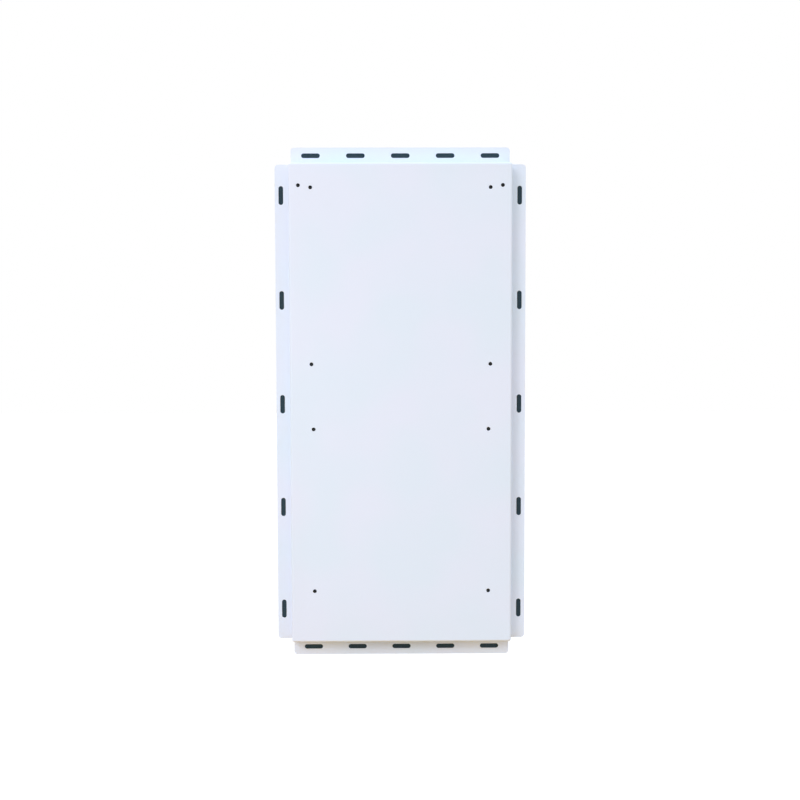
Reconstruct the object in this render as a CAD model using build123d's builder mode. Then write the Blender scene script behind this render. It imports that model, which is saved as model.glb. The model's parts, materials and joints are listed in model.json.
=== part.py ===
from build123d import *
from math import pi
import os

# A slim wall battery: a folded and slotted steel pan that screws to the wall over two studs,
# with two pouch-cell modules, a battery-management board, wire ducts and a recessed
# connector bay behind it. Millimetres. +Z is up, -Y faces the room, and the origin is the
# centre of the slot pattern in the plane of the flanges' rear faces.

# Folded sheet pan
SHEET = 1.5                 # steel sheet of the pan and the rear plate
BEND_IN = 2.0               # inside radius of every fold
BEND_OUT = BEND_IN + SHEET  # outside radius of every fold
PAN_WIDE = 376.0            # outside faces of the side walls
PAN_TALL = 816.0            # outside faces of the end walls
PAN_DEEP = 30.0             # rear face of the flanges to the front of the panel
CORNER_R = 4.0              # welded and ground corner seams
OVERALL_WIDE = 427.0
OVERALL_TALL = 872.0
END_FLANGE_LONG = 372.0     # top and bottom flanges, along X
SIDE_FOLD_LONG = 808.0      # folds of the side flanges, along Z
SIDE_FLANGE_LONG = 815.0    # side flanges, past the corner reliefs at the ends of their folds
FLANGE_CORNER_R = 6.0

# Wall slots: the side columns are 16 in apart with a pitch of 7 in, the rows have one of 3 in
INCH = 25.4
SLOT_LONG = 1.25 * INCH
SLOT_WIDE = 5 / 16 * INCH
COLUMN_X = 8 * INCH
COLUMN_PITCH = 7 * INCH
ROW_Z = 422.4
ROW_PITCH = 3 * INCH
SLOTS_IN_LINE = 5

# Clinch nuts in the panel: two lifting points, then four for each battery module
DUCT_NUT_X, DUCT_NUT_Z = 172.0, 370.0
UPPER_NUT_X, UPPER_NUT_TOP, UPPER_NUT_LOW = 151.5, 366.5, 69.5
LOWER_NUT_X, LOWER_NUT_TOP, LOWER_NUT_LOW = 148.5, -41.0, -319.0
NUT_SHANK_R = 4.35
NUT_RECESS = 0.1            # shank stops this far short of the panel's front
NUT_BODY_R = 5.5
NUT_BODY_HIGH = 4.0
NUT_MOUTH = 0.55            # countersink at the front of each bore
THREAD_R = 2.675            # M6 at its pitch diameter
SCREW_R = 2.65
SCREW_HOLE_R = 3.3
SCREW_HEAD_R = 5.0
SCREW_HEAD_HIGH = 3.3
SCREW_HEX_R = 2.3
SCREW_HEX_DEEP = 2.0
SCREW_TIP = -28.0           # screws stop inside the nuts
SLACK = 0.02                # between a thread or press fit and the bore that holds it

# Depths, from the panel at the front to the wall at the back
PANEL_BACK = -PAN_DEEP + SHEET
INSULATION = 0.5
NUT_SEAT = PANEL_BACK + NUT_BODY_HIGH
TRAY_SHEET = 1.2
TRAY_BACK = -26.5           # rear face of a tray's floor
PAD = 1.0
CELL_THICK = 8.5
COVER_FRONT = TRAY_BACK + 3 * PAD + 2 * CELL_THICK
COVER_BACK = COVER_FRONT + TRAY_SHEET
REAR_PLATE_BACK = -1.5
REAR_PLATE_FRONT = REAR_PLATE_BACK - SHEET
GASKET = 1.5
GASKET_WIDE = 16.0
GASKET_SHORT = 6.0          # each end of a strip, to the end of its flange
GASKET_CORNER_R = 1.0

WALL_IN_X = PAN_WIDE / 2 - SHEET
WALL_IN_Z = PAN_TALL / 2 - SHEET


def facing(y):
    """Sketch plane parallel to the wall at depth y: local x is X, local y is Z, and an
    extrusion grows towards the room."""
    return Plane.XZ.offset(-y)


def both_sides(x, z):
    return [(-x, z), (x, z)]


def corners(x, z_top, z_low):
    return both_sides(x, z_top) + both_sides(x, z_low)


def write(piece, name):
    piece.part.label = name
    export_step(piece.part, f"parts/{name}.step")


UPPER_NUTS = corners(UPPER_NUT_X, UPPER_NUT_TOP, UPPER_NUT_LOW)
LOWER_NUTS = corners(LOWER_NUT_X, LOWER_NUT_TOP, LOWER_NUT_LOW)
DUCT_NUTS = both_sides(DUCT_NUT_X, DUCT_NUT_Z)
ALL_NUTS = DUCT_NUTS + UPPER_NUTS + LOWER_NUTS

os.makedirs("parts", exist_ok=True)

# Connector bay sizes, needed by the pan that is cut for it
BAY_HALF = 104.0            # opening along X
BAY_FRONT, BAY_REAR = -25.2, -6.0
BAY_ROOF = -380.0           # upper face of the pocket's roof
BAY_SHEET = 1.2
BAY_CORNER_R = 2.0
BAY_MID_Y = (BAY_FRONT + BAY_REAR) / 2
BAY_DEEP_Y = BAY_REAR - BAY_FRONT
ROOF_UNDER = BAY_ROOF - BAY_SHEET


# ----------------------------------------- the front pan, and the slotted flanges round it

STRAIGHT_WALL = PAN_WIDE / 2 - CORNER_R     # half of an end wall, up to its corner seams

with BuildPart() as front_pan:
    with BuildSketch(facing(-BEND_OUT)):
        RectangleRounded(PAN_WIDE, PAN_TALL, CORNER_R)
    extrude(amount=PAN_DEEP - BEND_OUT)
    fillet(front_pan.faces().sort_by(Axis.Y)[0].edges(), BEND_OUT)
    offset(amount=-SHEET, openings=front_pan.faces().sort_by(Axis.Y)[-1])
    with BuildSketch(facing(PANEL_BACK)):
        with Locations(*ALL_NUTS):
            Circle(NUT_SHANK_R)
    extrude(amount=SHEET, mode=Mode.SUBTRACT)
    # The bottom wall is its own folded piece, which carries the connector bay
    with BuildSketch(Plane.XY.offset(-PAN_TALL / 2)):
        with Locations((0, -PAN_DEEP / 2)):
            Rectangle(2 * STRAIGHT_WALL, PAN_DEEP - 2 * BEND_OUT)
    extrude(amount=SHEET, mode=Mode.SUBTRACT)
write(front_pan, "front_pan")


def slotted_flange(out, wall, edge, fold_long, plate_long, slot_row, slot_pitch):
    """Foot bend and flange on the rear edge of a wall. The wall's outer face is at the
    distance wall along the direction out, and the flange ends at the distance edge."""
    foot = wall + BEND_IN
    across = Plane((0, 0, 0), x_dir=out, z_dir=Vector(out).cross(Vector(0, 1, 0)))
    flat = Plane((0, 0, 0), x_dir=out, z_dir=(0, -1, 0))
    with BuildPart() as flange:
        with BuildSketch(across):
            with BuildLine():
                Line((wall - SHEET, -BEND_OUT), (wall, -BEND_OUT))
                CenterArc((foot, -BEND_OUT), BEND_IN, 90, 90)
                Line((foot, -SHEET), (foot, 0))
                CenterArc((foot, -BEND_OUT), BEND_OUT, 90, 90)
            make_face()
        extrude(amount=fold_long / 2, both=True)
        with BuildSketch(flat):
            with Locations(((foot + edge) / 2, 0)):
                Rectangle(edge - foot, plate_long)
            with Locations((slot_row, 0)):
                with GridLocations(0, slot_pitch, 1, SLOTS_IN_LINE):
                    SlotOverall(SLOT_LONG, SLOT_WIDE, rotation=90, mode=Mode.SUBTRACT)
        extrude(amount=SHEET)
        free_corners = flange.edges().filter_by(Axis.Y).sort_by(Axis((0, 0, 0), out))[-2:]
        fillet(free_corners, FLANGE_CORNER_R)
    return flange


SIDE = (PAN_WIDE / 2, OVERALL_WIDE / 2, SIDE_FOLD_LONG, SIDE_FLANGE_LONG, COLUMN_X, COLUMN_PITCH)
END = (PAN_TALL / 2, OVERALL_TALL / 2, END_FLANGE_LONG, END_FLANGE_LONG, ROW_Z, ROW_PITCH)
write(slotted_flange((-1, 0, 0), *SIDE), "flange_left")
write(slotted_flange((1, 0, 0), *SIDE), "flange_right")
write(slotted_flange((0, 0, 1), *END), "flange_top")
bottom_flange = slotted_flange((0, 0, -1), *END)

with BuildPart() as connector_end:
    add(bottom_flange.part)
    with BuildSketch(Plane.XY.offset(-PAN_TALL / 2)):
        with Locations((0, -PAN_DEEP / 2)):
            Rectangle(2 * STRAIGHT_WALL, PAN_DEEP - 2 * BEND_OUT)
        with Locations((0, BAY_MID_Y)):
            RectangleRounded(2 * BAY_HALF, BAY_DEEP_Y, BAY_CORNER_R, mode=Mode.SUBTRACT)
    extrude(amount=SHEET)
write(connector_end, "connector_end")

with BuildPart() as wall_gasket:
    with BuildSketch(facing(GASKET)):
        with GridLocations(2 * COLUMN_X, 0, 2, 1):
            RectangleRounded(GASKET_WIDE, SIDE_FLANGE_LONG - 2 * GASKET_SHORT, GASKET_CORNER_R)
        with GridLocations(0, 2 * ROW_Z, 1, 2):
            RectangleRounded(END_FLANGE_LONG - 2 * GASKET_SHORT, GASKET_WIDE, GASKET_CORNER_R)
    extrude(amount=GASKET)
write(wall_gasket, "wall_gasket")

with BuildPart() as clinch_nuts:
    with BuildSketch(facing(PANEL_BACK)):
        with Locations(*ALL_NUTS):
            Circle(NUT_SHANK_R)
    extrude(amount=SHEET - NUT_RECESS)
    with BuildSketch(facing(NUT_SEAT)):
        with Locations(*ALL_NUTS):
            Circle(NUT_BODY_R)
    extrude(amount=NUT_BODY_HIGH)
    with BuildSketch(facing(NUT_SEAT)):
        with Locations(*ALL_NUTS):
            Circle(THREAD_R)
    extrude(amount=NUT_BODY_HIGH + SHEET, mode=Mode.SUBTRACT)
    fronts = clinch_nuts.edges().filter_by(GeomType.CIRCLE).group_by(Axis.Y)[0]
    chamfer(fronts.filter_by(lambda edge: edge.radius < NUT_SHANK_R), NUT_MOUTH)
write(clinch_nuts, "clinch_nuts")

INSULATION_GAP = 1.0        # film to the folds of the walls, and to the nuts
INSULATION_CORNER_R = 3.0
with BuildPart() as front_insulation:
    with BuildSketch(facing(PANEL_BACK + INSULATION)):
        RectangleRounded(2 * (WALL_IN_X - BEND_IN - INSULATION_GAP),
                         2 * (WALL_IN_Z - BEND_IN - INSULATION_GAP), INSULATION_CORNER_R)
        with Locations(*ALL_NUTS):
            Circle(NUT_BODY_R + INSULATION_GAP, mode=Mode.SUBTRACT)
    extrude(amount=INSULATION)
write(front_insulation, "front_insulation")


# ------------------------------------------------------------------ the closed rear

WELD_TAB_LONG, WELD_TAB_LEG = 18.0, 14.0
WELD_TAB_WALL_LEG = 12.0
SIDE_TABS, SIDE_TAB_PITCH = 5, 160.0
END_TAB_X = 140.0
REAR_GAP = 0.8              # closing plate to the pan's walls
REAR_CORNER_R = 4.0
REAR_SCREW_IN = 7.0         # screw centre from the pan's inner wall
REAR_SCREW_R = 2.0
REAR_SCREW_LONG = 5.5
REAR_HOLE_GAP = 0.2
REAR_HEAD_R = 3.75
REAR_HEAD_HIGH = 1.3
REAR_HEAD_ROUND = 0.7
REAR_HEX_R = 1.4
REAR_HEX_DEEP = 0.9
REAR_FILM_GAP = 2.0         # film inside the plate to the tabs
REAR_FILM_CORNER_R = 6.0
REAR_SCREWS = (
    [(side * (WALL_IN_X - REAR_SCREW_IN), (step - SIDE_TABS // 2) * SIDE_TAB_PITCH)
     for side in (-1, 1) for step in range(SIDE_TABS)]
    + corners(END_TAB_X, WALL_IN_Z - REAR_SCREW_IN, REAR_SCREW_IN - WALL_IN_Z)
)

with BuildPart() as rear_tabs:
    with BuildSketch(facing(REAR_PLATE_FRONT)):
        with GridLocations(2 * WALL_IN_X - WELD_TAB_LEG, SIDE_TAB_PITCH, 2, SIDE_TABS):
            Rectangle(WELD_TAB_LEG, WELD_TAB_LONG)
        with GridLocations(2 * END_TAB_X, 2 * WALL_IN_Z - WELD_TAB_LEG, 2, 2):
            Rectangle(WELD_TAB_LONG, WELD_TAB_LEG)
    extrude(amount=SHEET)
    with BuildSketch(facing(REAR_PLATE_FRONT)):
        with GridLocations(2 * WALL_IN_X - SHEET, SIDE_TAB_PITCH, 2, SIDE_TABS):
            Rectangle(SHEET, WELD_TAB_LONG)
        with GridLocations(2 * END_TAB_X, 2 * WALL_IN_Z - SHEET, 2, 2):
            Rectangle(WELD_TAB_LONG, SHEET)
    extrude(amount=WELD_TAB_WALL_LEG)
    with BuildSketch(facing(REAR_PLATE_FRONT)):
        with Locations(*REAR_SCREWS):
            Circle(REAR_SCREW_R)
    extrude(amount=SHEET, mode=Mode.SUBTRACT)
write(rear_tabs, "rear_tabs")

with BuildPart() as rear_plate:
    with BuildSketch(facing(REAR_PLATE_BACK)):
        RectangleRounded(2 * (WALL_IN_X - REAR_GAP), 2 * (WALL_IN_Z - REAR_GAP), REAR_CORNER_R)
        with Locations(*REAR_SCREWS):
            Circle(REAR_SCREW_R + REAR_HOLE_GAP, mode=Mode.SUBTRACT)
    extrude(amount=SHEET)
write(rear_plate, "rear_plate")

with BuildPart() as rear_screws:
    with BuildSketch(facing(REAR_PLATE_BACK)):
        with Locations(*REAR_SCREWS):
            Circle(REAR_SCREW_R - SLACK)
    extrude(amount=REAR_SCREW_LONG)
    with BuildSketch(facing(REAR_PLATE_BACK + REAR_HEAD_HIGH)):
        with Locations(*REAR_SCREWS):
            Circle(REAR_HEAD_R)
    extrude(amount=REAR_HEAD_HIGH)
    fillet(rear_screws.edges().group_by(Axis.Y)[-1], REAR_HEAD_ROUND)
    with BuildSketch(facing(REAR_PLATE_BACK + REAR_HEAD_HIGH)):
        with Locations(*REAR_SCREWS):
            RegularPolygon(radius=REAR_HEX_R, side_count=6)
    extrude(amount=REAR_HEX_DEEP, mode=Mode.SUBTRACT)
write(rear_screws, "rear_screws")

with BuildPart() as rear_insulation:
    with BuildSketch(facing(REAR_PLATE_FRONT)):
        RectangleRounded(2 * (WALL_IN_X - WELD_TAB_LEG - REAR_FILM_GAP),
                         2 * (WALL_IN_Z - WELD_TAB_LEG - REAR_FILM_GAP), REAR_FILM_CORNER_R)
    extrude(amount=INSULATION)
write(rear_insulation, "rear_insulation")


# ------------------------------------------------------- two battery modules, alike inside

TRAY_HALF_X = 134.0         # outside of the tray's walls
TRAY_HALF_Z = 126.0
TRAY_RIM = 8.0              # outward rim on the two long walls
TRAY_CORNER_R = 2.0
EAR_WIDE = 18.0
EAR_GAP = 4.0               # ears start this far outside the window
TERMINAL_GAP = 200.0        # window in the terminal end's wall
CELL_WIDE, CELL_TALL = 126.0, 221.0
CELL_CORNER_R = 3.0
CELL_COLUMN_X = 66.0
CELL_SEAL = 2.0             # flat sealed edge round each pouch
CELL_END_GAP = 2.0
TAB_X = 32.0                # tab centre from its cell's centre line
CELL_TAB_WIDE, CELL_TAB_LONG, CELL_TAB_THICK = 30.0, 15.0, 0.4
CELL_LOW = -TRAY_HALF_Z + TRAY_SHEET + CELL_END_GAP + CELL_SEAL
CELL_TOP = CELL_LOW + CELL_TALL
TAB_TOP = CELL_TOP + CELL_SEAL + CELL_TAB_LONG
LAYER_Y = [TRAY_BACK + PAD + CELL_THICK / 2, TRAY_BACK + 2 * PAD + 1.5 * CELL_THICK]
COVER_CORNER_R = 3.0
COVER_SCREW_R = 1.5
COVER_SCREW_X = TRAY_HALF_X + TRAY_RIM / 2
COVER_SCREW_PITCH = 110.0
COVER_SCREW_LONG = 4.0
M3_HOLE_GAP = 0.1
M3_HEAD_R, M3_HEAD_HIGH = 2.75, 1.4
BAR = 2.0
BAR_WIDE = 3.0              # busbars, across the cells' tabs
LUG_WIDE = 14.0
LUG_STAND = 16.0
LUG_CORNER_R = 2.0
LEAD_R = 3.0
LEAD_Y = -15.5
LUG_HALF = 4.0
LUG_Z = TRAY_HALF_Z + 6.0   # lug centre above the module's middle


def module_tray(middle, nut_x, nut_top, nut_low):
    with BuildPart() as tray:
        with BuildSketch(facing(TRAY_BACK)):
            with Locations((0, middle)):
                RectangleRounded(2 * TRAY_HALF_X, 2 * TRAY_HALF_Z, TRAY_CORNER_R)
        extrude(amount=TRAY_SHEET)
        with BuildSketch(facing(COVER_FRONT)):
            with Locations((0, middle)):
                RectangleRounded(2 * TRAY_HALF_X, 2 * TRAY_HALF_Z, TRAY_CORNER_R)
                Rectangle(2 * (TRAY_HALF_X - TRAY_SHEET), 2 * (TRAY_HALF_Z - TRAY_SHEET),
                          mode=Mode.SUBTRACT)
            with Locations((0, middle + TRAY_HALF_Z)):
                Rectangle(TERMINAL_GAP, 4 * TRAY_SHEET, mode=Mode.SUBTRACT)
        extrude(amount=COVER_FRONT - TRAY_BACK)
        with BuildSketch(facing(COVER_FRONT)):
            with Locations((0, middle)):
                with GridLocations(2 * TRAY_HALF_X + TRAY_RIM, 0, 2, 1):
                    Rectangle(TRAY_RIM, 2 * TRAY_HALF_Z)
                with GridLocations(2 * COVER_SCREW_X, COVER_SCREW_PITCH, 2, 3):
                    Circle(COVER_SCREW_R, mode=Mode.SUBTRACT)
        extrude(amount=TRAY_SHEET)
        with BuildSketch(facing(NUT_SEAT + TRAY_SHEET)):
            for end, nut_z in ((1, nut_top), (-1, nut_low)):
                wall = middle + end * (TRAY_HALF_Z - TRAY_SHEET)
                tip = nut_z + end * EAR_WIDE / 2
                for side in (-1, 1):
                    root = TERMINAL_GAP / 2 + EAR_GAP
                    outer = nut_x + EAR_WIDE / 2
                    with Locations((side * (root + outer) / 2, (wall + tip) / 2)):
                        Rectangle(outer - root, abs(tip - wall))
            with Locations(*corners(nut_x, nut_top, nut_low)):
                Circle(SCREW_HOLE_R, mode=Mode.SUBTRACT)
        extrude(amount=TRAY_SHEET)
    return tray


def module_cells(middle):
    with BuildPart() as cells:
        for layer in LAYER_Y:
            with BuildSketch(facing(layer + CELL_THICK / 2)):
                with Locations((0, middle + (CELL_LOW + CELL_TOP) / 2)):
                    with GridLocations(2 * CELL_COLUMN_X, 0, 2, 1):
                        RectangleRounded(CELL_WIDE, CELL_TALL, CELL_CORNER_R)
            extrude(amount=CELL_THICK)
            with BuildSketch(facing(layer + CELL_TAB_THICK)):
                with Locations((0, middle + (CELL_LOW + CELL_TOP) / 2)):
                    with GridLocations(2 * CELL_COLUMN_X, 0, 2, 1):
                        RectangleRounded(CELL_WIDE + 2 * CELL_SEAL, CELL_TALL + 2 * CELL_SEAL,
                                         CELL_SEAL)
            extrude(amount=2 * CELL_TAB_THICK)
            with BuildSketch(facing(layer + CELL_TAB_THICK / 2)):
                with Locations((0, middle + TAB_TOP - CELL_TAB_LONG / 2 - CELL_SEAL / 2)):
                    with GridLocations(2 * CELL_COLUMN_X, 0, 2, 1):
                        with GridLocations(2 * TAB_X, 0, 2, 1):
                            Rectangle(CELL_TAB_WIDE, CELL_TAB_LONG + CELL_SEAL)
            extrude(amount=CELL_TAB_THICK)
    return cells


def module_pads(middle):
    with BuildPart() as pads:
        for step in range(3):
            with BuildSketch(facing(TRAY_BACK + PAD + step * (PAD + CELL_THICK))):
                with Locations((0, middle + (CELL_LOW + CELL_TOP) / 2)):
                    RectangleRounded(2 * CELL_COLUMN_X + CELL_WIDE, CELL_TALL, CELL_CORNER_R)
            extrude(amount=PAD)
    return pads


def module_cover(middle):
    with BuildPart() as cover:
        with BuildSketch(facing(COVER_BACK)):
            with Locations((0, middle)):
                RectangleRounded(2 * (TRAY_HALF_X + TRAY_RIM), 2 * TRAY_HALF_Z, COVER_CORNER_R)
                with GridLocations(2 * COVER_SCREW_X, COVER_SCREW_PITCH, 2, 3):
                    Circle(COVER_SCREW_R + M3_HOLE_GAP, mode=Mode.SUBTRACT)
        extrude(amount=TRAY_SHEET)
    return cover


def module_busbars(middle):
    """Upright bars on the outer tabs join front and rear cells, a long bar joins the two
    columns at the rear, and two lugs lead the module's ends out through the window."""
    front, rear = LAYER_Y
    seat = middle + TAB_TOP
    with BuildPart() as bars:
        with BuildSketch(Plane.XY.offset(seat)):
            with Locations((0, (front + rear) / 2)):
                with GridLocations(2 * (CELL_COLUMN_X + TAB_X), 0, 2, 1):
                    Rectangle(CELL_TAB_WIDE, rear - front + BAR_WIDE)
            with Locations((0, rear)):
                Rectangle(2 * (CELL_COLUMN_X - TAB_X) + CELL_TAB_WIDE, BAR_WIDE)
            with Locations((0, front)):
                with GridLocations(2 * (CELL_COLUMN_X - TAB_X), 0, 2, 1):
                    Rectangle(CELL_TAB_WIDE, BAR_WIDE)
        extrude(amount=BAR)
        with BuildSketch(facing(front + BAR_WIDE / 2)):
            with Locations((0, seat + LUG_STAND / 2)):
                with GridLocations(2 * (CELL_COLUMN_X - TAB_X), 0, 2, 1):
                    RectangleRounded(LUG_WIDE, LUG_STAND, LUG_CORNER_R)
        extrude(amount=BAR)
        with BuildSketch(facing(LEAD_Y + LUG_HALF)):
            with Locations((0, middle + LUG_Z)):
                with GridLocations(2 * (CELL_COLUMN_X - TAB_X), 0, 2, 1):
                    Rectangle(LUG_WIDE, 2 * LUG_HALF)
        extrude(amount=LEAD_Y + LUG_HALF - (front + BAR_WIDE / 2))
    return bars


UPPER_MIDDLE = (UPPER_NUT_TOP + UPPER_NUT_LOW) / 2
LOWER_MIDDLE = (LOWER_NUT_TOP + LOWER_NUT_LOW) / 2
MODULES = {
    "upper": (UPPER_MIDDLE, UPPER_NUT_X, UPPER_NUT_TOP, UPPER_NUT_LOW),
    "lower": (LOWER_MIDDLE, LOWER_NUT_X, LOWER_NUT_TOP, LOWER_NUT_LOW),
}
for place, (middle, nut_x, nut_top, nut_low) in MODULES.items():
    write(module_tray(middle, nut_x, nut_top, nut_low), f"tray_{place}")
    write(module_cells(middle), f"cells_{place}")
    write(module_pads(middle), f"pads_{place}")
    write(module_cover(middle), f"cover_{place}")
    write(module_busbars(middle), f"busbars_{place}")

with BuildPart() as cover_screws:
    for middle in (UPPER_MIDDLE, LOWER_MIDDLE):
        with BuildSketch(facing(COVER_BACK)):
            with Locations((0, middle)):
                with GridLocations(2 * COVER_SCREW_X, COVER_SCREW_PITCH, 2, 3):
                    Circle(COVER_SCREW_R - SLACK)
        extrude(amount=COVER_SCREW_LONG)
        with BuildSketch(facing(COVER_BACK + M3_HEAD_HIGH)):
            with Locations((0, middle)):
                with GridLocations(2 * COVER_SCREW_X, COVER_SCREW_PITCH, 2, 3):
                    Circle(M3_HEAD_R)
        extrude(amount=M3_HEAD_HIGH)
write(cover_screws, "cover_screws")


# --------------------------------------------- wire ducts down both sides, and their lids

DUCT_X = 173.0
DUCT_WIDE = 22.0
DUCT_WALL = 1.5
LID_THICK = 1.2
DUCT_BACK = -8.5
DUCT_TOP, DUCT_LOW = 380.0, -296.0
DUCT_MIDDLE = (DUCT_TOP + DUCT_LOW) / 2
DUCT_FLOOR_BACK = NUT_SEAT + DUCT_WALL
NOTCH = 16.0
TOP_LUG_Z = UPPER_MIDDLE + LUG_Z
SENSE_Z = 50.0              # where each lead turns in to the board or its neighbours
LINK_Z = 40.0
NEGATIVE_Z = -8.0


def duct(side, notches):
    with BuildPart() as channel:
        with BuildSketch(facing(DUCT_FLOOR_BACK)):
            with Locations((side * DUCT_X, DUCT_MIDDLE)):
                Rectangle(DUCT_WIDE, DUCT_TOP - DUCT_LOW)
            with Locations((side * DUCT_NUT_X, DUCT_NUT_Z)):
                Circle(SCREW_HOLE_R, mode=Mode.SUBTRACT)
        extrude(amount=DUCT_WALL)
        with BuildSketch(facing(DUCT_BACK)):
            with Locations((side * DUCT_X, DUCT_MIDDLE)):
                with GridLocations(DUCT_WIDE - DUCT_WALL, 0, 2, 1):
                    Rectangle(DUCT_WALL, DUCT_TOP - DUCT_LOW)
            inner_wall = side * (DUCT_X - (DUCT_WIDE - DUCT_WALL) / 2)
            with Locations(*[(inner_wall, z) for z in notches]):
                Rectangle(2 * DUCT_WALL, NOTCH, mode=Mode.SUBTRACT)
        extrude(amount=DUCT_BACK - DUCT_FLOOR_BACK)
    return channel


write(duct(-1, (TOP_LUG_Z, SENSE_Z)), "duct_left")
write(duct(1, (TOP_LUG_Z, LINK_Z, NEGATIVE_Z)), "duct_right")

with BuildPart() as duct_lids:
    with BuildSketch(facing(DUCT_BACK + LID_THICK)):
        with Locations((0, DUCT_MIDDLE)):
            with GridLocations(2 * DUCT_X, 0, 2, 1):
                Rectangle(DUCT_WIDE, DUCT_TOP - DUCT_LOW)
    extrude(amount=LID_THICK)
write(duct_lids, "duct_lids")


# ----------------------------------------- battery-management board on its spreader plate

EAR_BACK = NUT_SEAT + TRAY_SHEET
PLATE_THICK = 2.0
PLATE_BACK = EAR_BACK + PLATE_THICK
PLATE_HALF_X = 140.0
PLATE_OVERLAP = 10.0        # its ears run this far into the plate
PLATE_TOP, PLATE_LOW = 80.0, -36.0
SPACER_HIGH = 5.0
SPACER_R = 3.0
SPACER_BORE_R = 1.25
BOARD_THICK = 1.6
BOARD_CORNER_R = 3.0
BOARD_HOLE_R = 1.35
BOARD_SCREW_R, BOARD_SCREW_LONG = 1.2, 5.0
BOARD_HEAD_R, BOARD_HEAD_HIGH = 2.3, 1.5
BOARD_FRONT = PLATE_BACK + SPACER_HIGH
BOARD_BACK = BOARD_FRONT + BOARD_THICK
BOARD_LEFT, BOARD_RIGHT = -128.0, 60.0
BOARD_LOW, BOARD_TOP = -28.0, 74.0
BOARD_MIDDLE = ((BOARD_LEFT + BOARD_RIGHT) / 2, (BOARD_LOW + BOARD_TOP) / 2)
SPACER_IN = 5.0             # from the board's edges
SPACERS = [(x, z) for x in (BOARD_LEFT + SPACER_IN, -60, BOARD_RIGHT - SPACER_IN)
           for z in (BOARD_LOW + SPACER_IN, BOARD_TOP - SPACER_IN)]

with BuildPart() as board_plate:
    with BuildSketch(facing(PLATE_BACK)):
        with Locations((0, (PLATE_TOP + PLATE_LOW) / 2)):
            Rectangle(2 * PLATE_HALF_X, PLATE_TOP - PLATE_LOW)
        for nut_x, nut_z in ((UPPER_NUT_X, UPPER_NUT_LOW), (LOWER_NUT_X, LOWER_NUT_TOP)):
            outer = nut_x + EAR_WIDE / 2
            root = PLATE_HALF_X - PLATE_OVERLAP
            with Locations(*both_sides((root + outer) / 2, nut_z)):
                Rectangle(outer - root, EAR_WIDE)
            with Locations(*both_sides(nut_x, nut_z)):
                Circle(SCREW_HOLE_R, mode=Mode.SUBTRACT)
    extrude(amount=PLATE_THICK)
write(board_plate, "board_plate")

with BuildPart() as board_spacers:
    with BuildSketch(facing(BOARD_FRONT)):
        with Locations(*SPACERS):
            RegularPolygon(radius=SPACER_R, side_count=6)
            Circle(SPACER_BORE_R, mode=Mode.SUBTRACT)
    extrude(amount=SPACER_HIGH)
write(board_spacers, "board_spacers")

with BuildPart() as board:
    with BuildSketch(facing(BOARD_BACK)):
        with Locations(BOARD_MIDDLE):
            RectangleRounded(BOARD_RIGHT - BOARD_LEFT, BOARD_TOP - BOARD_LOW, BOARD_CORNER_R)
        with Locations(*SPACERS):
            Circle(BOARD_HOLE_R, mode=Mode.SUBTRACT)
    extrude(amount=BOARD_THICK)
write(board, "board")

with BuildPart() as board_screws:
    with BuildSketch(facing(BOARD_BACK)):
        with Locations(*SPACERS):
            Circle(BOARD_SCREW_R)
    extrude(amount=BOARD_SCREW_LONG)
    with BuildSketch(facing(BOARD_BACK + BOARD_HEAD_HIGH)):
        with Locations(*SPACERS):
            Circle(BOARD_HEAD_R)
    extrude(amount=BOARD_HEAD_HIGH)
write(board_screws, "board_screws")

# Each entry: x, z of the middle, width, height, and how far it stands off the board
BOARD_BLOCKS = [
    (-119, SENSE_Z, 14, 12, 6.7),      # sense socket of the upper module
    (0, -17, 14, 10, 6.0),             # sense socket of the lower module
    (36, 12, 20, 10, 3.0),             # current shunt
    (-86, 22, 14, 14, 1.5),            # controller
    (-86, 48, 10, 8, 1.5),
    (-62, 46, 8, 8, 1.5),
    (-30, 52, 24, 12, 6.5),            # data socket
    (6, 52, 24, 12, 6.5),
]
# Rows of power transistors and of capacitors, each at its row's middle
PART_PITCH = 13.0
TRANSISTORS, TRANSISTOR_ROW = 6, (-70, -14)
TRANSISTOR_WIDE, TRANSISTOR_TALL, TRANSISTOR_HIGH = 10.0, 9.0, 4.5
CAPACITORS, CAPACITOR_ROW = 4, (-16, 24)
CAPACITOR_R, CAPACITOR_HIGH = 5.0, 8.0
with BuildPart() as board_parts:
    for x, z, wide, tall, high in BOARD_BLOCKS:
        with BuildSketch(facing(BOARD_BACK + high)):
            with Locations((x, z)):
                Rectangle(wide, tall)
        extrude(amount=high)
    with BuildSketch(facing(BOARD_BACK + TRANSISTOR_HIGH)):
        with Locations(TRANSISTOR_ROW):
            with GridLocations(PART_PITCH, 0, TRANSISTORS, 1):
                Rectangle(TRANSISTOR_WIDE, TRANSISTOR_TALL)
    extrude(amount=TRANSISTOR_HIGH)
    with BuildSketch(facing(BOARD_BACK + CAPACITOR_HIGH)):
        with Locations(CAPACITOR_ROW):
            with GridLocations(PART_PITCH, 0, CAPACITORS, 1):
                Circle(CAPACITOR_R)
    extrude(amount=CAPACITOR_HIGH)
write(board_parts, "board_parts")

FUSE_LEFT, FUSE_RIGHT = 80.0, 104.0
FUSE_BLOCK = 8.0
FUSE_R = 5.7
with BuildPart() as main_fuse:
    with BuildSketch(Plane.YZ.offset(FUSE_LEFT)):
        with Locations((LEAD_Y, LINK_Z)):
            Circle(FUSE_R)
    extrude(amount=FUSE_RIGHT - FUSE_LEFT)
write(main_fuse, "main_fuse")

with BuildPart() as fuse_terminals:
    with BuildSketch(facing(LEAD_Y + LUG_HALF)):
        for x in (FUSE_LEFT - FUSE_BLOCK / 2, FUSE_RIGHT + FUSE_BLOCK / 2):
            with Locations((x, LINK_Z)):
                Rectangle(FUSE_BLOCK, FUSE_BLOCK)
    extrude(amount=2 * LUG_HALF)
write(fuse_terminals, "fuse_terminals")

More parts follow.
